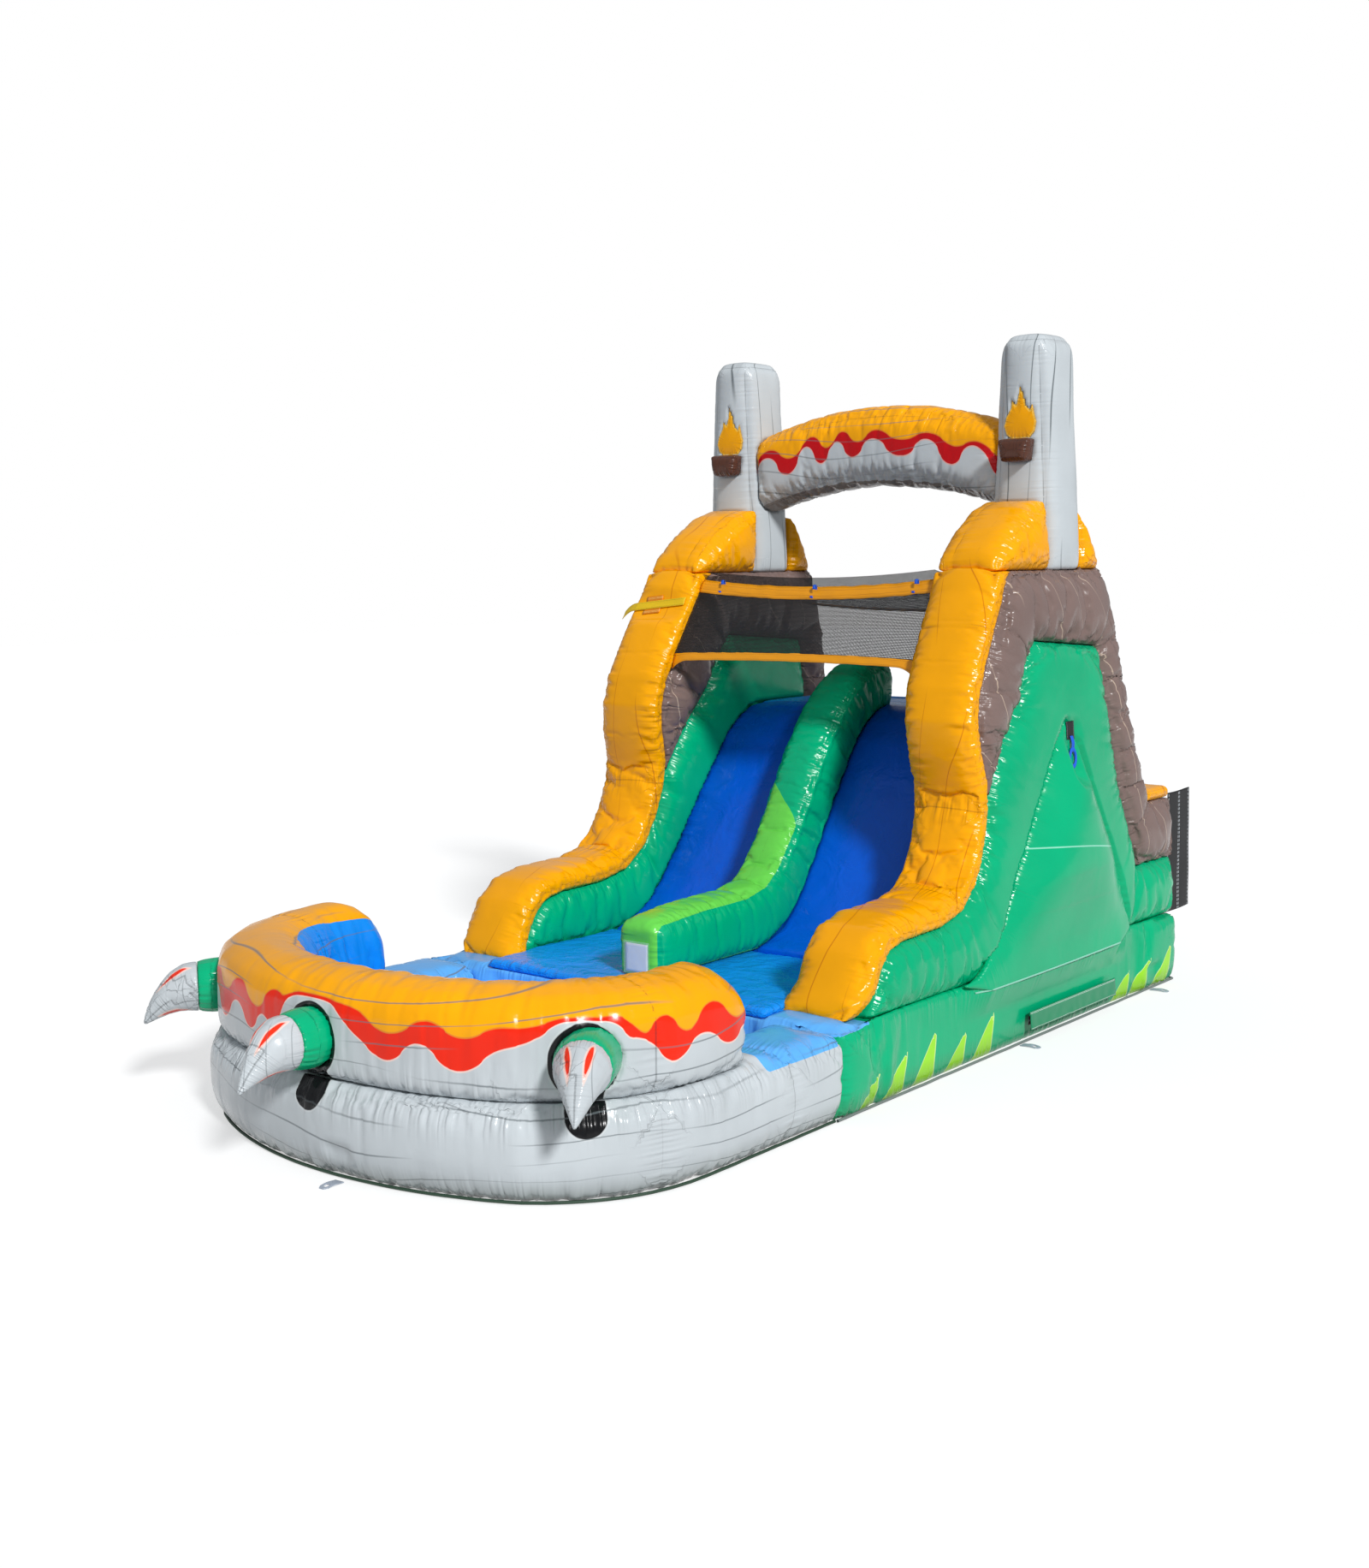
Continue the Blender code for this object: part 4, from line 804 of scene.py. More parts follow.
poolCuts = [acrossPool(place) for place in pool["seams"]]
poolWall, points, away = inflate(
    "pool_wall", (2,), poolWallCloth, "grey_vinyl", cell=0.022, puff=0.030, pleat=0.009, pitch=0.075,
    air=True, cap=0.03, cuts=poolCuts, shape=poolShape)
along, inset = poolPlace(points)[:2]
top = towards("pool_wall", points, away, 2, signed=True)
paint(poolWall, "bluePart", np.maximum(np.minimum(top, points[:, 1] - pool["bumperEnd"] - 0.1), inset - 0.42))
paint(poolWall, "slotPart", np.minimum(keyhole(along, points[:, 2]), 0.08 - inset))


def rimFolds(points):
    # soft folds across the padded rim
    along, inset = poolPlace(points)[:2]
    place = np.stack([along / 0.11, inset / 0.55, points[:, 2] / 0.55], 1)
    soft = grainy(place, 1.0)
    crest = np.clip(1 - np.abs(grainy(place * (1.6, 1, 1), 1.0, 5.0)) / 0.22, 0, 1)
    some = np.clip(0.5 + 1.6 * grainy(points, 0.7, 2.0), 0, 1.2)
    return (0.008 * soft + 0.006 * crest) * some


bumper, points = inflate(
    "pool_bumper", (2,), bumperCloth, "grey_vinyl", keep=lambda middle: middle.z < drips["seamBelow"],
    cell=0.018, puff=0.022, pleat=0.006, reach=0.16, pitch=0.07, wander=0.010, air=True, cap=0.03,
    cuts=poolCuts, folds=rimFolds)[:2]
along, inset = poolPlace(points)[:2]
z = points[:, 2]
lift = sum(np.exp(-((along - place) / drips["clawReach"]) ** 4) for place in clawAlong.values())
over = np.clip(inset - drips["topInset"], 0, 1) * 1.2  # the top stays orange where the section turns inwards
orange = drips["orangeZ"] + drips["orangeWave"] * wave(along, drips["step"], 0.4)
red = drips["redZ"] + drips["redWave"] * wave(along + 0.06, drips["step"], 0.9)
orange = orange + (drips["orangeTop"] - orange) * lift
red = np.minimum(red + (drips["redTop"] - red) * lift, orange - drips["redGap"])
paint(bumper, "orangePart", z + over - orange)
paint(bumper, "redPart", z + over - red)
paint(bumper, "bluePart", (inset - drips["blueInset"]) + (drips["blueZ"] - z) * 0.5)
paint(bumper, "slotPart", np.minimum(keyhole(along, z), drips["slotInset"] - inset))
inflate("pool_floor", (2,), poolCloth, "pool_blue_vinyl", cell=0.03, puff=0.012, wander=0.014)
inflate("runout_mat", (2,), poolCloth, "pool_blue_vinyl", cell=0.022, puff=0.006, wander=0.012)
print("base and pool done")

# Claws, each with two marks along its tip
clawLook = dict(mark=0.017, markMiddle=0.42, markShare=0.30, markSide=0.052, markTaper=0.05)
for word, (turn, z) in clawPlaces.items():
    inflate(word + "_claw_socket", (1,), greenCloth, "green_vinyl", cell=0.011, soften=3, puff=0.006,
            pleat=0.004, pitch=0.04, reach=0.05, round=0.05, wander=0.002)
    tip, points = inflate(
        word + "_claw_tip", (1,), clawCloth, "grey_vinyl", cell=0.009, soften=3, puff=0.004, pleat=0.004,
        pitch=0.04, reach=0.06, round=0.05, wander=0.004)[:2]
    out = np.array([sin(radians(turn)), -cos(radians(turn))])
    across = points[:, :2] @ np.array([-out[1], out[0]])
    across = across - across.mean()
    far = points[:, :2] @ out
    far = (far - far.min()) / (far.max() - far.min()) - clawLook["markMiddle"]
    width = clawLook["mark"] * (1 - (far / clawLook["markShare"]) ** 2)
    place = clawLook["markSide"] - clawLook["markTaper"] * far
    paint(tip, "redPart", np.maximum(*(width - np.abs(across - side * place) for side in (-1, 1))))

# Lanes, divider, platform and climbing side
inflate("slide_bed", (0,), laneCloth, "lane_blue_vinyl", cell=0.022, puff=0.03, pleat=0.014, reach=0.12,
        round=0.2)
divider, points, away = inflate("lane_divider", (0,), dividerCloth, "leaf_green_vinyl", cell=0.015,
                                puff=0.022, pleat=0.006, reach=0.08, air=True, cap=0.03)
leaf = -towards("lane_divider", points, away, 0)
paint(divider, "leafPart", np.minimum(leaf, 0.62 - points[:, 1] - 0.5 * points[:, 0]))
inflate("top_platform", (0,), poolCloth, "pool_blue_vinyl", cell=0.028, puff=0.015)
inflate("climbing_wall", (0,), poolCloth, "pool_blue_vinyl", cell=0.022, puff=0.018)
print("lanes done")

# Side walls, hoops and posts
wallLook = dict(upperSeam=1.60, lowerSeam=1.16, flare=0.10, flareFoot=0.5, flareTop=0.72, flareFrom=-0.55,
                flareDrop=0.03, panelSeam=1.28, panelFoot=0.60, panelLow=0.52, panelRise=0.55, hoopX=1.335,
                flameEdge=0.014)


def flared(side):
    # the foot of an arm curls in over the deck
    def shape(moved):
        height = wallLook["flareTop"] - wallLook["flareFoot"]
        share = np.clip((wallLook["flareTop"] - moved[:, 2]) / height, 0, 1) ** 2
        share *= np.clip((wallLook["flareFrom"] - moved[:, 1]) / 0.2, 0, 1)
        moved = moved.copy()
        moved[:, 0] -= side * wallLook["flare"] * share
        moved[:, 1] -= wallLook["flareDrop"] * share
        return moved
    return shape


def panelShare(points):
    # a side panel swells most above its foot
    return 0.10 + 0.90 * np.clip((points[:, 2] - wallLook["panelLow"]) / wallLook["panelRise"], 0, 1) ** 1.2


armCuts = [((0, 0, wallLook["upperSeam"]), (0, 0.1, 1)), ((0, 0, wallLook["lowerSeam"]), (0, 0.5, 0.86))]
for word, side in sides:
    inflate(word + "_front_arm", (0,), orangeCloth, "orange_vinyl", cell=0.016, puff=0.030, pleat=0.008,
            reach=0.15, pitch=0.075, shape=flared(side), air=True, growth=0.10, cap=0.05, cuts=armCuts)
    inflate(word + "_upper_wall", (0,), brownCloth, "brown_vinyl", cell=0.018, puff=0.045, round=0.16,
            pleat=0.007, reach=0.13, pitch=0.07, air=True, growth=0.18, cap=0.095)
    inflate(word + "_lower_wall", (0,), greenCloth, "green_vinyl", cell=0.020, puff=0.045, round=0.14,
            pleat=0.007, reach=0.12, air=True, growth=0.09, cap=0.055)
    panel, points = inflate(
        word + "_side_panel", (0,), panelCloth, "green_vinyl", cell=0.014, puff=0.17, pleat=0.004, round=0.15,
        wander=0.006, even=40, keep=lambda middle: middle.z > wallLook["panelFoot"], shape=panelShape,
        share=panelShare)[:2]
    line = wallLook["panelSeam"] - 0.10 * (points[:, 1] - 0.9) - 0.05 * (points[:, 1] - 1.4) ** 2
    paint(panel, "seamPart", points[:, 2] - line)
    inflate(word + "_step_cap", (0, 2), orangeCloth, "orange_vinyl", cell=0.014, puff=0.012, pleat=0.006)
    inflate(word + "_front_hoop", (0,), orangeCloth, "orange_vinyl", cell=0.016, puff=0.04, pleat=0.007,
            reach=0.10, air=True, cuts=[((side * wallLook["hoopX"], 0, 0), (1, 0, 0.07 * side))])
    inflate(word + "_rear_hoop", (0,), orangeCloth, "orange_vinyl", cell=0.016, puff=0.03, pleat=0.012)
    inflate(word + "_pillar", (0, 2), postCloth, "grey_vinyl", cell=0.016, puff=0.026, round=0.07,
            pleat=0.004, reach=0.07, pitch=0.06, even=12, wander=0.008)
    inflate(word + "_torch_box", (0, 1, 2), boxCloth, "brown_vinyl", cell=0.010, puff=0.008, pleat=0.006,
            pitch=0.05, reach=0.05, round=0.06)
    flame, points, away = inflate(
        word + "_flame", (1,), flameCloth, "orange_vinyl", cell=0.006, soften=2, puff=0.008, pleat=0.002,
        pitch=0.04, reach=0.03, round=0.05, wander=0.001, crease=0.002)
    paint(flame, "edgePart", wallLook["flameEdge"] - away)

# The arched beam: height above or below its bent middle line decides the colour
beamLook = dict(middleZ=3.915, middleY=1.84, half=1.03, sag=0.17, step=0.37, orangeEdge=0.070,
                orangeWave=0.055, redEdge=-0.015, redWave=0.095, redGap=0.02, topHalf=0.12, under=-0.24)
beam, points = inflate("crossbeam", (0, 2), beamCloth, "grey_vinyl", cell=0.015, puff=0.02, pleat=0.007,
                       reach=0.10, pitch=0.07, air=True, cap=0.03)[:2]
rise = points[:, 2] - (beamLook["middleZ"] - beamLook["sag"] * (points[:, 0] / beamLook["half"]) ** 2)
over = np.clip(beamLook["topHalf"] - np.abs(points[:, 1] - beamLook["middleY"]), 0, 1) * 2.0
tongue = wave(points[:, 0] + 0.05, beamLook["step"], 0.9)
edge = beamLook["orangeEdge"] - beamLook["orangeWave"] * wave(points[:, 0] + 0.02, beamLook["step"], 0.7)
reach = beamLook["redEdge"] - beamLook["redWave"] * np.sign(tongue) * np.abs(tongue) ** 0.8
paint(beam, "orangePart", rise + over - edge)
paint(beam, "redPart", rise + over - np.minimum(edge - beamLook["redGap"], reach))
# painted shade: the beam's underside is coloured darker
paint(beam, "underShadePart", beamLook["under"] - rise)
blowUp()
print("walls and posts done")

# Nets and their hems, sagging between the side walls. A span is a start and a run
netLook = dict(
    halfWidth=1.145, lean=0.07, leanFrom=0.5, topSag=0.050, lowArch=0.020, rearSag=0.045, roofSag=0.03,
    belly=0.02, gusset=0.06, gussetFrom=0.86, netY=(0.680, 0.253), netZ=(2.469, 0.430),
    lowY=(0.653, 0.030), lowZ=(2.417, 0.053), topY=(0.930, 0.052), topZ=(2.896, 0.086),
    roofY=(0.966, 1.278), roofZ=(3.045, -0.268), rearY=(2.243, 0.048), rearZ=(2.785, -0.012),
    pitch=0.009, thread=0.0048,
)
tieLook = dict(places=(-0.80, 0.02, 0.86), width=0.022, length=0.22, turn=2.7, deep=0.021, tall=0.052,
               rise=0.006)


def part(span, share):
    return span[0] + span[1] * share


def innerX(z):
    # the walls lean in as they rise
    return netLook["halfWidth"] - netLook["lean"] * (z - netLook["leanFrom"])


def onFront(u, y, z, share):
    # a point of the front net or its hems, with the sag that its height gives
    sag = (1 - u * u) * (netLook["lowArch"] * (1 - share) - netLook["topSag"] * share)
    return u * innerX(z), y - netLook["belly"] * (1 - u * u) * share * (1 - share) * 4, z + sag


def layFrontNet(u, v):
    share = (v + 1) / 2
    return onFront(u, part(netLook["netY"], share), part(netLook["netZ"], share), share)


def layLowHem(u, v):
    share = (v + 1) / 2
    x, y, z = onFront(u, part(netLook["lowY"], share), part(netLook["lowZ"], share), 0)
    end = max(0, (abs(u) - netLook["gussetFrom"]) / (1 - netLook["gussetFrom"]))
    y += 0.003 * noise.noise(Vector((u * 14, v, 1)))
    return x, y, z - netLook["gusset"] * end ** 2 * (1 - share) + 0.003 * noise.noise(Vector((u * 9, v, 4)))


def layTopHem(u, v):
    share = (v + 1) / 2
    x, y, z = onFront(u, part(netLook["topY"], share), part(netLook["topZ"], share), 1)
    curl = 0.010 * sin(share * pi) + 0.006 * noise.noise(Vector((u * 7, v * 1.5, 9)))
    return x, y - curl, z + 0.005 * noise.noise(Vector((u * 11, v, 2)))


def layRoof(u, v):
    share = (v + 1) / 2
    z = part(netLook["roofZ"], share)
    ends = netLook["topSag"] * (1 - share) + netLook["rearSag"] * share
    sag = ends + netLook["roofSag"] * 4 * share * (1 - share)
    return u * innerX(z), part(netLook["roofY"], share), z - (1 - u * u) * sag


def layRearHem(u, v):
    share = (v + 1) / 2
    z = part(netLook["rearZ"], share)
    y = part(netLook["rearY"], share) + 0.004 * noise.noise(Vector((u * 9, v, 3)))
    return u * innerX(z), y, z - (1 - u * u) * netLook["rearSag"] + 0.012 * sin(share * pi)


netting = netCloth("knitted safety net", "#101113", netLook["pitch"], netLook["thread"])
hemCloth = wovenCloth("orange hem cloth", "#FFA800", thread=0.006, height=0.0003, roughness=0.4,
                      stitches=dict(rows=(-0.038, -0.02, 0.02, 0.038), width=0.003, pitch=0.012,
                                    colour="#B56A00"))
for node, ending, cells, lay, flat, thick, rests in (
    ("front_net", "_mesh", (60, 16), layFrontNet, (2.0, 0.47), 0, "front_net_top_hem_band"),
    ("front_net_low_hem", "_band", (90, 6), layLowHem, (2.01, 0.062), 0.004, "front_net"),
    ("front_net_top_hem", "_band", (90, 8), layTopHem, (1.96, 0.10), 0.005, "left_front_arm"),
    ("roof_net", "_mesh", (60, 40), layRoof, (1.95, 1.29), 0, "rear_net_hem"),
    ("rear_net_hem", "_band", (80, 6), layRearHem, (1.95, 0.052), 0.004, "left_upper_wall"),
):
    material, slot = (hemCloth, "orange_vinyl") if thick else (netting, "black_netting")
    piece = clothPiece(node + ending, flat, cells, lay, thick, material, (node,), turned=thick > 0)

blueWebbing = wovenCloth("blue webbing", "#0B62F0", thread=0.005, height=0.0005, roughness=0.6)
for i, u in enumerate(tieLook["places"]):
    middle = Vector(layTopHem(u, 0))

    def layTie(a, b):
        turn = b * tieLook["turn"]
        return middle + Vector((0.011 * a + 0.012 * b, tieLook["deep"] * cos(turn),
                                tieLook["tall"] * sin(turn) + tieLook["rise"]))

    clothPiece(f"net_tie_{i + 1}", (tieLook["width"], tieLook["length"]), (4, 28), layTie, 0.003, blueWebbing)
print("nets done")

# The strap that pulls the top hem round the left arm, with the pad sewn under it
strapLook = dict(left=-1.60, right=-1.02, edge=-1.47, z=2.835, slope=0.10, half=0.027, droop=0.05, flare=0.03,
                 strapLift=0.012, padX=-1.30, padHalf=0.075, padTall=0.062, padLift=0.006)
armSkin = skinOf("left_front_arm_cloth")


def onArm(x, z, lift):
    # a point lifted off the front of the left arm
    hit = armSkin.ray_cast(Vector((max(x, strapLook["edge"]), -0.5, z)), Vector((0, 1, 0)))[0]
    free = max(0, (strapLook["edge"] - x) / (strapLook["edge"] - strapLook["left"]))
    ripple = 0.002 * noise.noise(Vector((x * 12, z * 9, 5)))
    return x, hit.y - lift - ripple + strapLook["flare"] * free, z - strapLook["droop"] * free ** 2


def strapZ(x):
    return strapLook["z"] + strapLook["slope"] * (x - strapLook["right"])


def layStrap(u, v):
    x = strapLook["left"] + (strapLook["right"] - strapLook["left"]) * (v + 1) / 2
    return onArm(x, strapZ(x) + strapLook["half"] * u, strapLook["strapLift"])


def layPad(u, v):
    x = strapLook["padX"] + strapLook["padHalf"] * v
    return onArm(x, strapZ(x) + strapLook["padTall"] * u, strapLook["padLift"])


yellowWebbing = wovenCloth("yellow webbing", "#FFD400", thread=0.005, height=0.0005, roughness=0.55,
                           stitches=dict(rows=(-0.024, 0.024), width=0.003, pitch=0.010, colour="#9A7A00"))
padCloth = wovenCloth("orange patch cloth", "#F59200", thread=0.005, height=0.0003, roughness=0.4,
                      stitches=dict(rows=(-0.05, -0.043, 0.043, 0.05), width=0.003, pitch=0.010,
                                    colour="#FFD27A"))
clothPiece("net_strap_webbing", (0.066, 0.50), (6, 60), layStrap, 0.004, yellowWebbing,
           ("net_strap",))
clothPiece("net_strap_patch", (0.12, 0.145), (8, 10), layPad, 0.004, padCloth)

# Tie loops on the side panels: a black sewn patch, a short strap and a webbing ring
loopLook = dict(y=1.67, z=1.94, x=1.5892, lean=0.07, patchHalf=0.052, patchTall=0.06, patchUp=0.03,
                patchLift=0.003, strap=0.11, strapTop=0.008, strapWidth=0.036, strapLift=0.009,
                strapArch=0.012, ring=0.040, ringTube=0.011, ringFlat=0.7, ringLap=0.012, ringLift=0.014,
                stretch=1.45)
blackCloth = wovenCloth("black nylon patch", "#17181A", thread=0.004, height=0.0004, roughness=0.7,
                        stitches=dict(rows=(-0.043, 0.043), width=0.003, pitch=0.010, colour="#8D9298"))
for word, side in sides:
    out = Vector((side, 0, loopLook["lean"])).normalized()
    down = Vector((side * loopLook["lean"], 0, -1)).normalized()
    across = Vector((0, 1, 0))
    pivot = Vector((side * loopLook["x"], loopLook["y"], loopLook["z"]))
    skin = skinOf(word + "_side_panel_cloth")

    def risen(place):
        # how far the panel's skin stands out at a place
        hit = skin.ray_cast(place + out * 0.3, -out)[0]
        return max(0, (hit - place).dot(out)) if hit else 0

    def layPatch(u, v):
        place = pivot + across * (loopLook["patchHalf"] * u)
        place -= down * (loopLook["patchUp"] + loopLook["patchTall"] * v)
        return place + out * (risen(place) + loopLook["patchLift"])

    def layLoop(u, v):
        share = (v + 1) / 2
        middle = pivot + down * (loopLook["strapTop"] + (loopLook["strap"] - loopLook["strapTop"]) * share)
        lift = risen(middle) * share + loopLook["strapLift"] + loopLook["strapArch"] * sin(share * pi)
        return middle + across * (loopLook["strapWidth"] / 2 * u) + out * lift

    clothPiece(word + "_tie_patch", (0.104, 0.12), (8, 8), layPatch, 0.003, blackCloth)
    clothPiece(word + "_tie_strap", (loopLook["strapWidth"], loopLook["strap"]), (5, 16), layLoop, 0.004,
               blueWebbing, (word + "_tie_loop",), word + "_tie_loop")
    work = bmesh.new()
    bmesh.ops.create_circle(work, segments=12, radius=loopLook["ringTube"])
    bmesh.ops.rotate(work, verts=work.verts, matrix=Matrix.Rotation(pi / 2, 3, "X"))
    bmesh.ops.translate(work, verts=work.verts, vec=(loopLook["ring"], 0, 0))
    bmesh.ops.spin(work, geom=work.edges[:], cent=(0, 0, 0), axis=(0, 0, 1), angle=2 * pi, steps=32,
                   use_merge=True)
    bmesh.ops.recalc_face_normals(work, faces=work.faces)
    bmesh.ops.scale(work, verts=work.verts, vec=(1, loopLook["stretch"], loopLook["ringFlat"]))
    far = loopLook["strap"] + loopLook["ring"] * loopLook["stretch"] - loopLook["ringLap"]
    centre = pivot + down * far + out * (risen(pivot + down * far) + loopLook["ringLift"])
    lean = risen(pivot + down * (far + 0.05)) - risen(pivot + down * (far - 0.05))
    along = (down + out * lean / 0.1).normalized()
    turn = Matrix((across, along, across.cross(along) * side)).transposed().to_4x4()
    bmesh.ops.transform(work, verts=work.verts, matrix=Matrix.Translation(centre) @ turn)
    bmesh.ops.recalc_face_normals(work, faces=work.faces)
    ring = objectFrom(word + "_tie_ring", work)
    paint(ring, "clothPlace", pointsOf(ring)[:, [1, 2, 0]])
    settle(ring, blueWebbing, word + "_tie_loop", ())

# Anchor loops on the ground, each folded from one length of webbing
loopArch = 0.006
paleWebbing = wovenCloth("pale webbing", "#B9C3D2", thread=0.005, height=0.0006, roughness=0.65)
for place in ("front", "left_side", "left_rear", "right_side", "right_rear"):
    name = place + "_anchor"
    work = merged(name)
    bmesh.ops.subdivide_edges(work, edges=work.edges[:], cuts=4, use_grid_fill=True)
    piece = objectFrom(name + "_webbing", work)
    points = pointsOf(piece)
    low, high = (np.array(corner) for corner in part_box(name))
    length = int(np.argmax((high - low)[:2]))
    share = (points[:, length] - low[length]) / (high[length] - low[length])
    points[:, 2] += loopArch * np.sin(share * pi) ** 2
    movePoints(piece, points)
    edge = piece.modifiers.new("edge", "BEVEL")
    edge.width, edge.segments, edge.limit_method = 0.0012, 2, "ANGLE"
    evaluated(piece)
    paint(piece, "clothPlace", pointsOf(piece) if length == 1 else pointsOf(piece)[:, [1, 0, 2]])
    settle(piece, paleWebbing, name, (name,))

# Rear flaps and the strips that hold them
flapLook = dict(width=0.40, height=0.90, foot=0.47, start=3.313, x=1.54, wave=0.010, lift=0.004)
stripLook = dict(y=3.281, half=0.029, z=0.92, tall=0.40, wave=0.0015)
flapCloth = wovenCloth("black flap cloth", "#101114", thread=0.005, height=0.0004, roughness=0.62,
                       stitches=dict(rows=(-0.18, -0.01, 0.01, 0.18), width=0.007, pitch=0.030,
                                     colour="#C4CACF"))
stripCloth = wovenCloth("pale strip cloth", "#C3CAD0", thread=0.004, height=0.0003, roughness=0.55,
                        stitches=dict(rows=(-0.022, 0.022), width=0.003, pitch=0.012, colour="#6E767D"))
for word, side in sides:

    def layFlap(u, v):
        loose = (u + 1) / 2
        y = flapLook["start"] + flapLook["width"] * loose
        z = flapLook["foot"] + flapLook["height"] * (v + 1) / 2
        fold = sin(7 * y + 2.2 * z + 1) + 0.6 * noise.noise(Vector((y * 5, z * 4, 1)))
        x = flapLook["x"] + flapLook["wave"] * loose * fold
        return side * x, y, z + flapLook["lift"] * sin(9 * y) * loose

    def layStrip(u, v):
        return (side * flapLook["x"] + stripLook["wave"] * sin(9 * v), stripLook["y"] + stripLook["half"] * u,
                stripLook["z"] + stripLook["tall"] * v)

    flap = clothPiece(word + "_rear_flap_cloth", (flapLook["width"], flapLook["height"]), (24, 48), layFlap,
                      0.003, flapCloth, (word + "_rear_flap",), word + "_rear_flap")
    clothPiece(word + "_flap_strip_cloth", (0.058, 0.80), (4, 30), layStrip, 0.004, stripCloth,
               (word + "_flap_strip",))

# Zip in the right side of the base: tape, teeth, slider and the flap over them
zipLook = dict(front=0.98, length=1.20, x=1.6815, z=0.145, tapeHalf=0.029, headerX=1.6865, headerZ=0.190,
               headerHalf=0.014, flapX=1.6955, flapHalf=0.0595, flapSwell=0.010, flapRipple=0.004,
               tooth=(0.004, 0.0045, 0.013),
               toothLift=0.002, toothPitch=0.010, sliderCorner=0.009, sliderEdge=0.0012, pullHalf=0.008,
               pull=0.075)


def zipY(v):
    return zipLook["front"] + zipLook["length"] * (1 + v) / 2


def layTape(u, v):
    return zipLook["x"] + 0.0008 * sin(40 * v), zipY(v), zipLook["z"] + zipLook["tapeHalf"] * u


def layHeader(u, v):
    return zipLook["headerX"] + 0.004 * u * u, zipY(v), zipLook["headerZ"] + zipLook["headerHalf"] * u


def layZipFlap(u, v):
    drop = (1 - u) / 2
    ripple = zipLook["flapRipple"] * noise.noise(Vector((v * 9, u, 6))) * drop
    x = zipLook["flapX"] + zipLook["flapSwell"] * drop ** 2 + ripple
    return x, zipY(v), zipLook["z"] + zipLook["flapHalf"] * u


zipFlapCloth = wovenCloth("green flap cloth", "#009060", thread=0.006, height=0.0002, roughness=0.35,
                          stitches=dict(rows=(-0.052, 0.045, 0.052), width=0.003, pitch=0.012,
                                        colour="#E6F2EC"))
clothPiece("zip_tape_cloth", (0.058, 1.2), (4, 60), layTape, 0.002, blackCloth, ("zip_tape",))
clothPiece("zip_header_cloth", (0.028, 1.2), (4, 60), layHeader, 0.004, greenCloth,
           ("zip_header",))
flap = clothPiece("zip_flap_cloth", (0.119, 1.2), (8, 80), layZipFlap, 0.003, zipFlapCloth,
                  ("zip_flap",), "zip_flap")

threadCloth = wovenCloth("sewing thread", "#59626E", thread=0.002, height=0.0001, roughness=0.6)
work = bmesh.new()
for i in range(int(zipLook["length"] / zipLook["toothPitch"])):
    y = zipLook["front"] + (i + 0.5) * zipLook["toothPitch"]
    place = (zipLook["x"] + zipLook["toothLift"], y, zipLook["z"])
    size = Matrix.Diagonal((*zipLook["tooth"], 1))
    bmesh.ops.create_cube(work, size=1, matrix=Matrix.Translation(place) @ size)
teeth = objectFrom("zip_teeth", work)
paint(teeth, "clothPlace", pointsOf(teeth))
settle(teeth, threadCloth, shell, ())

low, high = (Vector(corner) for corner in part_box("zip_slider"))
work = bmesh.new()
place = Matrix.Translation((low + high) / 2)
bmesh.ops.create_cube(work, size=1, matrix=place @ Matrix.Diagonal((*(high - low), 1)))
ends = [edge for edge in work.edges if abs(edge.verts[0].co.x - edge.verts[1].co.x) > 0.001]
for edges, offset, segments in ((ends, zipLook["sliderCorner"], 3), (None, zipLook["sliderEdge"], 2)):
    bmesh.ops.bevel(work, geom=edges or work.edges[:], affect="EDGES", offset=offset, segments=segments,
                    profile=0.5, material=-1)
slider = objectFrom("zip_slider_body", work)
metal, tree, shader = newMaterial("cast zinc slider")  # die-cast zinc: grey, softly shiny, a little uneven
place = addNode(tree, "TexCoord").outputs["Object"]
spots = addNode(tree, "TexNoise", {"Vector": place, "Scale": 220.0, "Detail": 3.0}).outputs["Fac"]
tone = addNode(tree, "MapRange", {0: spots, 3: 0.22, 4: 0.42}).outputs[0]
tree.links.new(tone, shader.inputs["Roughness"])
greys = {0: spots, 6: linear("#8C9094"), 7: linear("#B9BDC0")}
tint = addNode(tree, "Mix", greys, data_type="RGBA").outputs[2]
tree.links.new(tint, shader.inputs["Base Color"])
shader.inputs["Metallic"].default_value = 1.0
settle(slider, metal, "zip_slider", ("zip_slider",))


def layPull(u, v):
    drop = (1 - v) / 2
    return (high.x + 0.002 + 0.004 * drop, (low.y + high.y) / 2 + zipLook["pullHalf"] * u,
            low.z + 0.02 - zipLook["pull"] * drop)


clothPiece("zip_pull", (2 * zipLook["pullHalf"], zipLook["pull"]), (4, 12), layPull, 0.003, blackCloth,
           body="zip_slider")

# Blower sleeve at the rear, with its strap and loose tail
sleeveLook = dict(x=-0.95, z=0.22, radius=0.131, start=3.201, length=0.418, pinch=0.06, pinchAt=0.81,
                  strapY=3.54, strapRadius=0.1445, strapHalf=0.018, tail=0.20, tailHalf=0.015, tailLift=0.146)


def aroundSleeve(radius, turn, y):
    return sleeveLook["x"] + radius * sin(turn), y, sleeveLook["z"] - radius * cos(turn)


def laySleeve(u, v):
    turn, share = pi * u, (v + 1) / 2
    pinch = 1 - sleeveLook["pinch"] * np.exp(-((share - sleeveLook["pinchAt"]) / 0.06) ** 2)
    ripple = 0.0048 * sin(11 * turn + 3 * share) * (0.3 + share)
    ripple += 0.0032 * noise.noise(Vector((3 * sin(turn), 3 * cos(turn), share * 5)))
    return aroundSleeve(sleeveLook["radius"] * pinch + ripple, turn,
                        sleeveLook["start"] + sleeveLook["length"] * share)


def laySleeveStrap(u, v):
    turn = pi * v
    radius = sleeveLook["strapRadius"] + 0.001 * sin(9 * turn)
    return aroundSleeve(radius, turn, sleeveLook["strapY"] + sleeveLook["strapHalf"] * u)


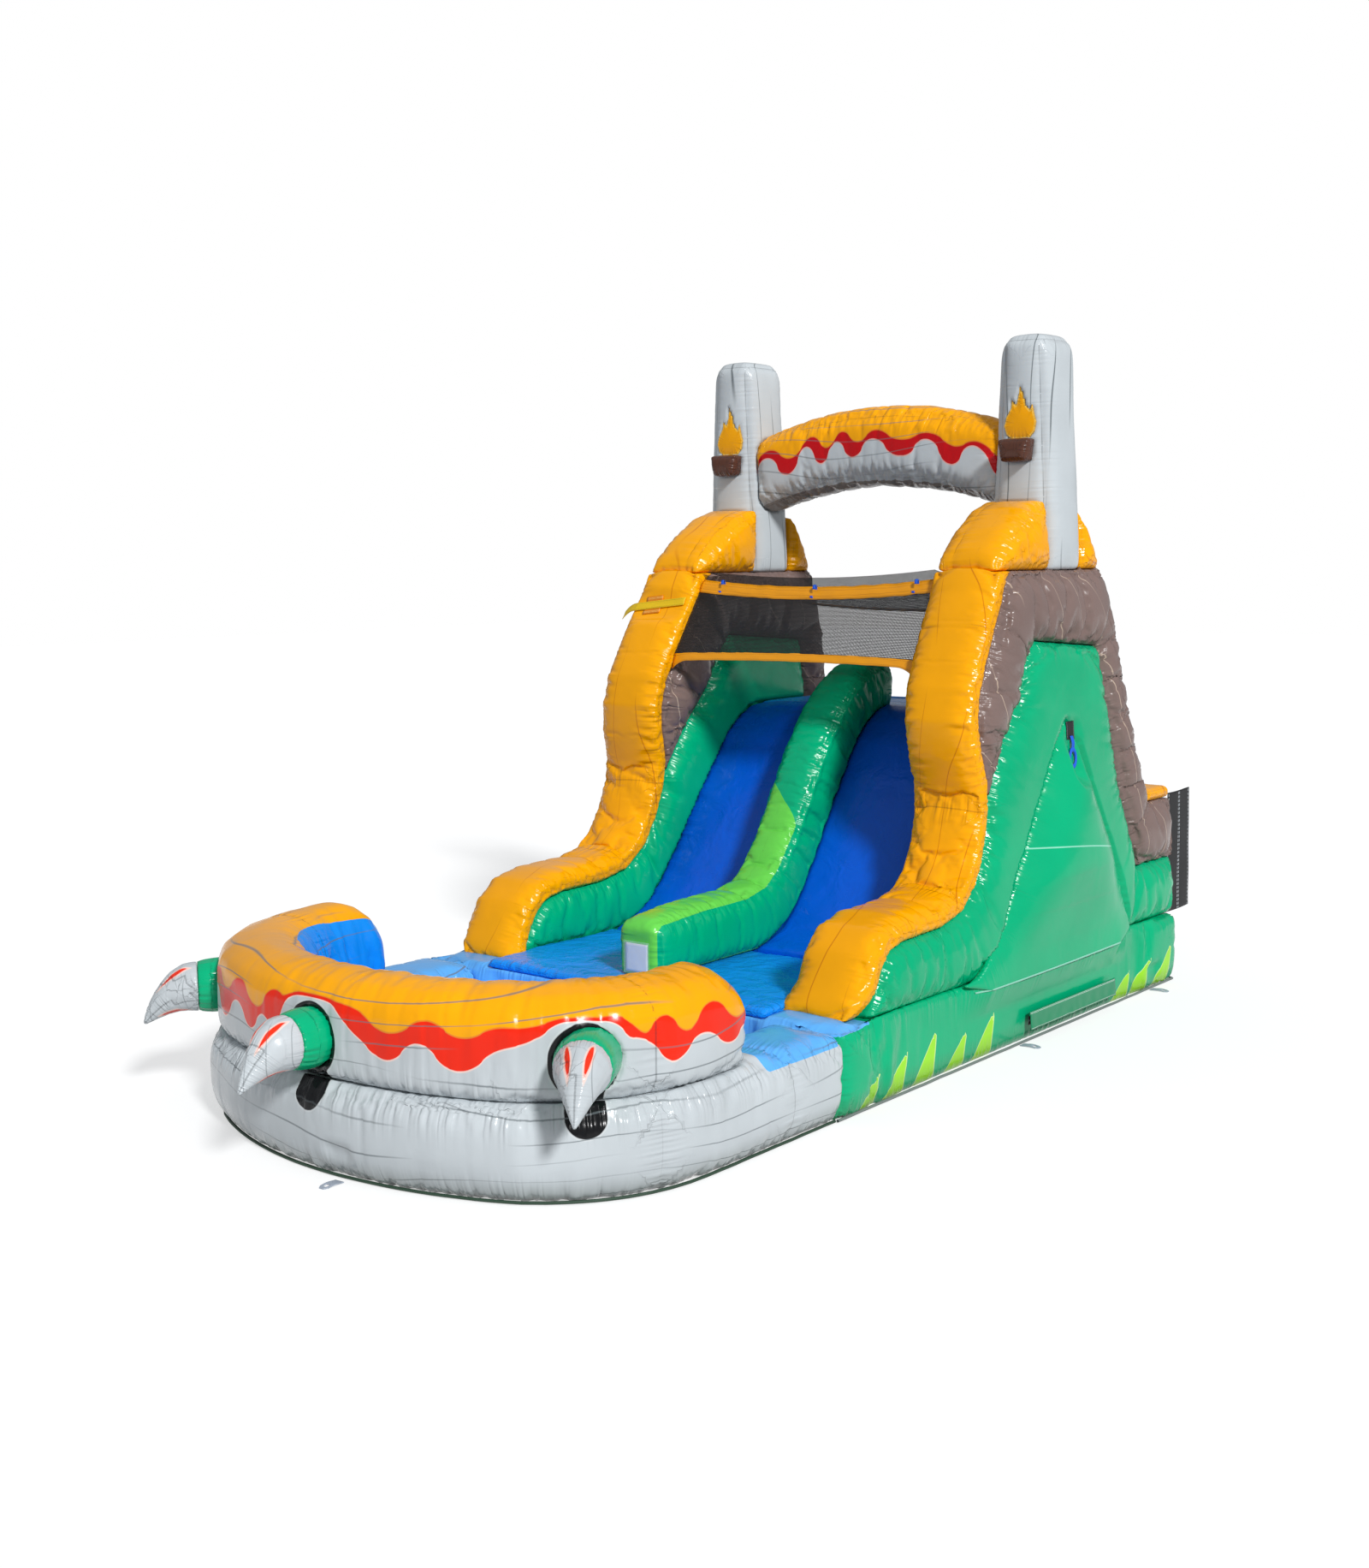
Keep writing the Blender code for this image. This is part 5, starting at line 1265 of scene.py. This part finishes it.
def layTail(u, v):
    share = (v + 1) / 2
    return (sleeveLook["x"] + sleeveLook["tailLift"] + 0.012 * sin(pi * share),
            sleeveLook["strapY"] + sleeveLook["tailHalf"] * u + 0.02 * share,
            sleeveLook["z"] + 0.02 - sleeveLook["tail"] * share)


sleeve = clothPiece("inlet_sleeve_cloth", (0.84, 0.418), (72, 30), laySleeve, 0.003, greenCloth,
                    ("inlet_sleeve",), joined=True)
paint(sleeve, "seamPoint", pointsOf(sleeve))
paint(sleeve, "seamDistance", np.abs(pointsOf(sleeve)[:, 1] - sleeveLook["strapY"]) + 0.01)
clothPiece("inlet_strap_band", (0.036, 0.91), (4, 60), laySleeveStrap, 0.003, blackCloth,
           ("inlet_strap",), joined=True)
clothPiece("inlet_strap_tail", (0.030, 0.20), (4, 14), layTail, 0.003, blackCloth)

# Card on the divider's nose, left bare in its clear sleeve
cardLook = dict(y=-0.9325, z=0.68, half=0.090, bow=0.003, edge=0.104, filmLift=0.0035, filmBow=0.004)


def layCard(u, v):
    y = cardLook["y"] - cardLook["bow"] * (1 - u * u)
    return cardLook["half"] * u, y, cardLook["z"] + cardLook["half"] * v


def layFilm(u, v):
    y = cardLook["y"] - cardLook["filmLift"] - cardLook["filmBow"] * (1 - u * u)
    return cardLook["edge"] * u, y, cardLook["z"] + cardLook["edge"] * v


cardPlastic, tree, shader = newMaterial("printed card plastic")  # smooth white polypropylene, slightly uneven
place = addNode(tree, "TexCoord").outputs["Object"]
cloud = addNode(tree, "TexNoise", {"Vector": place, "Scale": 18.0, "Detail": 3.0}).outputs["Fac"]
whites = {0: cloud, 6: linear("#DDE1E4"), 7: linear("#F2F4F5")}
tint = addNode(tree, "Mix", whites, data_type="RGBA").outputs[2]
tree.links.new(tint, shader.inputs["Base Color"])
shader.inputs["Roughness"].default_value = 0.35
film, tree, shader = newMaterial("clear vinyl film")  # clear PVC: glossy, hardly tinted, a little wavy
shader.inputs["Base Color"].default_value = linear("#EEF3F6")
shader.inputs["Roughness"].default_value = 0.08
shader.inputs["Alpha"].default_value = 0.16
place = addNode(tree, "TexCoord").outputs["Object"]
wavy = addNode(tree, "TexNoise", {"Vector": place, "Scale": 22.0, "Detail": 2.0}).outputs["Fac"]
bump = addNode(tree, "Bump", {"Strength": 0.6, "Distance": 0.004, "Height": wavy})
tree.links.new(bump.outputs[0], shader.inputs["Normal"])
clothPiece("blank_card_sheet", (0.18, 0.18), (10, 10), layCard, 0.002, cardPlastic,
           ("blank_card",))
clothPiece("card_sleeve", (0.208, 0.208), (10, 10), layFilm, 0.001, film)

# Piping round the foot of the base and the pool
pipeLook = dict(radius=0.009, around=0.056, wobble=0.004, cell=0.06, z=0.012, baseX=1.667, frontY=-1.16,
                rearY=3.20, poolInset=0.045, poolEnd=-1.17)


def pipe(name, path, material, radius=pipeLook["radius"]):
    # a thin sewn tube along a line of points
    path = [Vector(point) for point in path]
    spans = [0.0]
    for here, after in zip(path, path[1:]):
        spans.append(spans[-1] + (after - here).length)

    def lay(u, v):
        far = (v + 1) / 2 * spans[-1]
        i = min(max(k for k in range(len(spans)) if spans[k] <= far + 1e-9), len(path) - 2)
        place = path[i].lerp(path[i + 1], (far - spans[i]) / (spans[i + 1] - spans[i]))
        along = (path[i + 1] - path[i]).normalized()
        across = Vector((along.y, -along.x, 0))
        wobble = pipeLook["wobble"] * noise.noise(place * 6) * radius / pipeLook["radius"]
        return place + across * (radius * cos(pi * u) + wobble) + Vector((0, 0, radius * sin(pi * u)))

    cells = (8, max(20, int(spans[-1] / pipeLook["cell"])))
    clothPiece(name, (pipeLook["around"], spans[-1]), cells, lay, 0, material, joined=True)


pipeCloth = wovenCloth("grey piping tape", "#7F8A86", thread=0.006, height=0.0003, roughness=0.6)
darkPipeCloth = wovenCloth("dark green piping tape", "#2E4A38", thread=0.006, height=0.0003, roughness=0.6)
x, z = pipeLook["baseX"], pipeLook["z"]
corners = [(-x, pipeLook["frontY"]), (-x, pipeLook["rearY"]), (x, pipeLook["rearY"]), (x, pipeLook["frontY"])]
pipe("base_piping", [(*corner, z) for corner in corners], pipeCloth)
line = poolLine()
run = np.gradient(line, axis=0)
run /= np.linalg.norm(run, axis=1)[:, None]
inner = line - np.stack([run[:, 1], -run[:, 0]], 1) * pipeLook["poolInset"]
inner = [(x, y, z) for x, y in inner if y < pipeLook["poolEnd"]]
inner = [(inner[0][0], pipeLook["poolEnd"], z)] + inner + [(inner[-1][0], pipeLook["poolEnd"], z)]
pipe("pool_piping", inner, darkPipeCloth)

# Pale welt where each side panel is sewn to the base
weltLook = dict(start=0.30, end=2.30, z=0.458, sag=0.006, radius=0.006, steps=60)
weltCloth = wovenCloth("pale green welt tape", "#9BE3CB", thread=0.004, height=0.0002, roughness=0.4)
for word, side in sides:
    skins = [skinOf(name) for name in ("slide_base_cloth", word + "_side_panel_cloth")]
    path = []
    for k in range(weltLook["steps"] + 1):
        share = k / weltLook["steps"]
        y = weltLook["start"] + (weltLook["end"] - weltLook["start"]) * share
        z = weltLook["z"] - weltLook["sag"] * 4 * share * (1 - share)
        hits = [skin.ray_cast(Vector((side * 2.3, y, z)), Vector((-side, 0, 0)))[0] for skin in skins]
        path.append((side * max(abs(hit.x) for hit in hits if hit), y, z))
    pipe(word + "_panel_welt", path, weltCloth, weltLook["radius"])
print("straps, flaps and trim done")


# Floor, lamps and world
stageLook = dict(floorColour="#C4C4C4", floorSize=60, worldTint=(0.93, 0.96, 1.0, 1), worldLight=0.42,
                 sun=2.7, sunAngle=8, sunPlace=(7.6, -3.6, 5.6))


def makeStage():
    work = bmesh.new()
    bmesh.ops.create_grid(work, x_segments=1, y_segments=1, size=stageLook["floorSize"])
    floor = objectFrom("floor", work)
    material, tree, shader = newMaterial("pale floor")
    shader.inputs["Base Color"].default_value = linear(stageLook["floorColour"])
    shader.inputs["Roughness"].default_value = 0.9
    path = addNode(tree, "LightPath").outputs  # to the eye, and in reflections, the floor is white
    seen = path["Is Camera Ray"]
    for kind in ("Is Glossy Ray", "Is Transmission Ray"):
        seen = addNode(tree, "Math", {0: seen, 1: path[kind]}, operation="MAXIMUM").outputs[0]
    matte = addNode(tree, "BsdfDiffuse", {"Color": (0.55, 0.55, 0.55, 1)})
    glow = addNode(tree, "Emission", {"Color": (1, 1, 1, 1), "Strength": 0.55})
    white = addNode(tree, "AddShader", {0: matte.outputs[0], 1: glow.outputs[0]})
    both = addNode(tree, "MixShader", {0: seen, 1: shader.outputs[0], 2: white.outputs[0]})
    output = next(node for node in tree.nodes if node.type == "OUTPUT_MATERIAL")
    tree.links.new(both.outputs[0], output.inputs["Surface"])
    floor.data.materials.append(material)

    world = bpy.data.worlds.new("studio")
    bpy.context.scene.world = world
    world.use_nodes = True
    tree = world.node_tree
    tree.nodes.clear()
    path = addNode(tree, "LightPath").outputs
    sky = {"Color": stageLook["worldTint"], "Strength": stageLook["worldLight"]}
    light = addNode(tree, "Background", sky)
    plain = addNode(tree, "Background", {"Color": (1, 1, 1, 1), "Strength": 1.0})
    both = addNode(tree, "MixShader", {0: path["Is Camera Ray"], 1: light.outputs[0], 2: plain.outputs[0]})
    addNode(tree, "OutputWorld", {"Surface": both.outputs[0]})

    data = bpy.data.lights.new("sun", "SUN")
    data.energy, data.angle = stageLook["sun"], radians(stageLook["sunAngle"])
    lamp = bpy.data.objects.new("sun", data)
    lamp.location = stageLook["sunPlace"]
    lamp.rotation_euler = (-lamp.location).to_track_quat("-Z", "Y").to_euler()
    bpy.context.scene.collection.objects.link(lamp)


makeStage()
bpy.context.scene.view_settings.view_transform = "Standard"
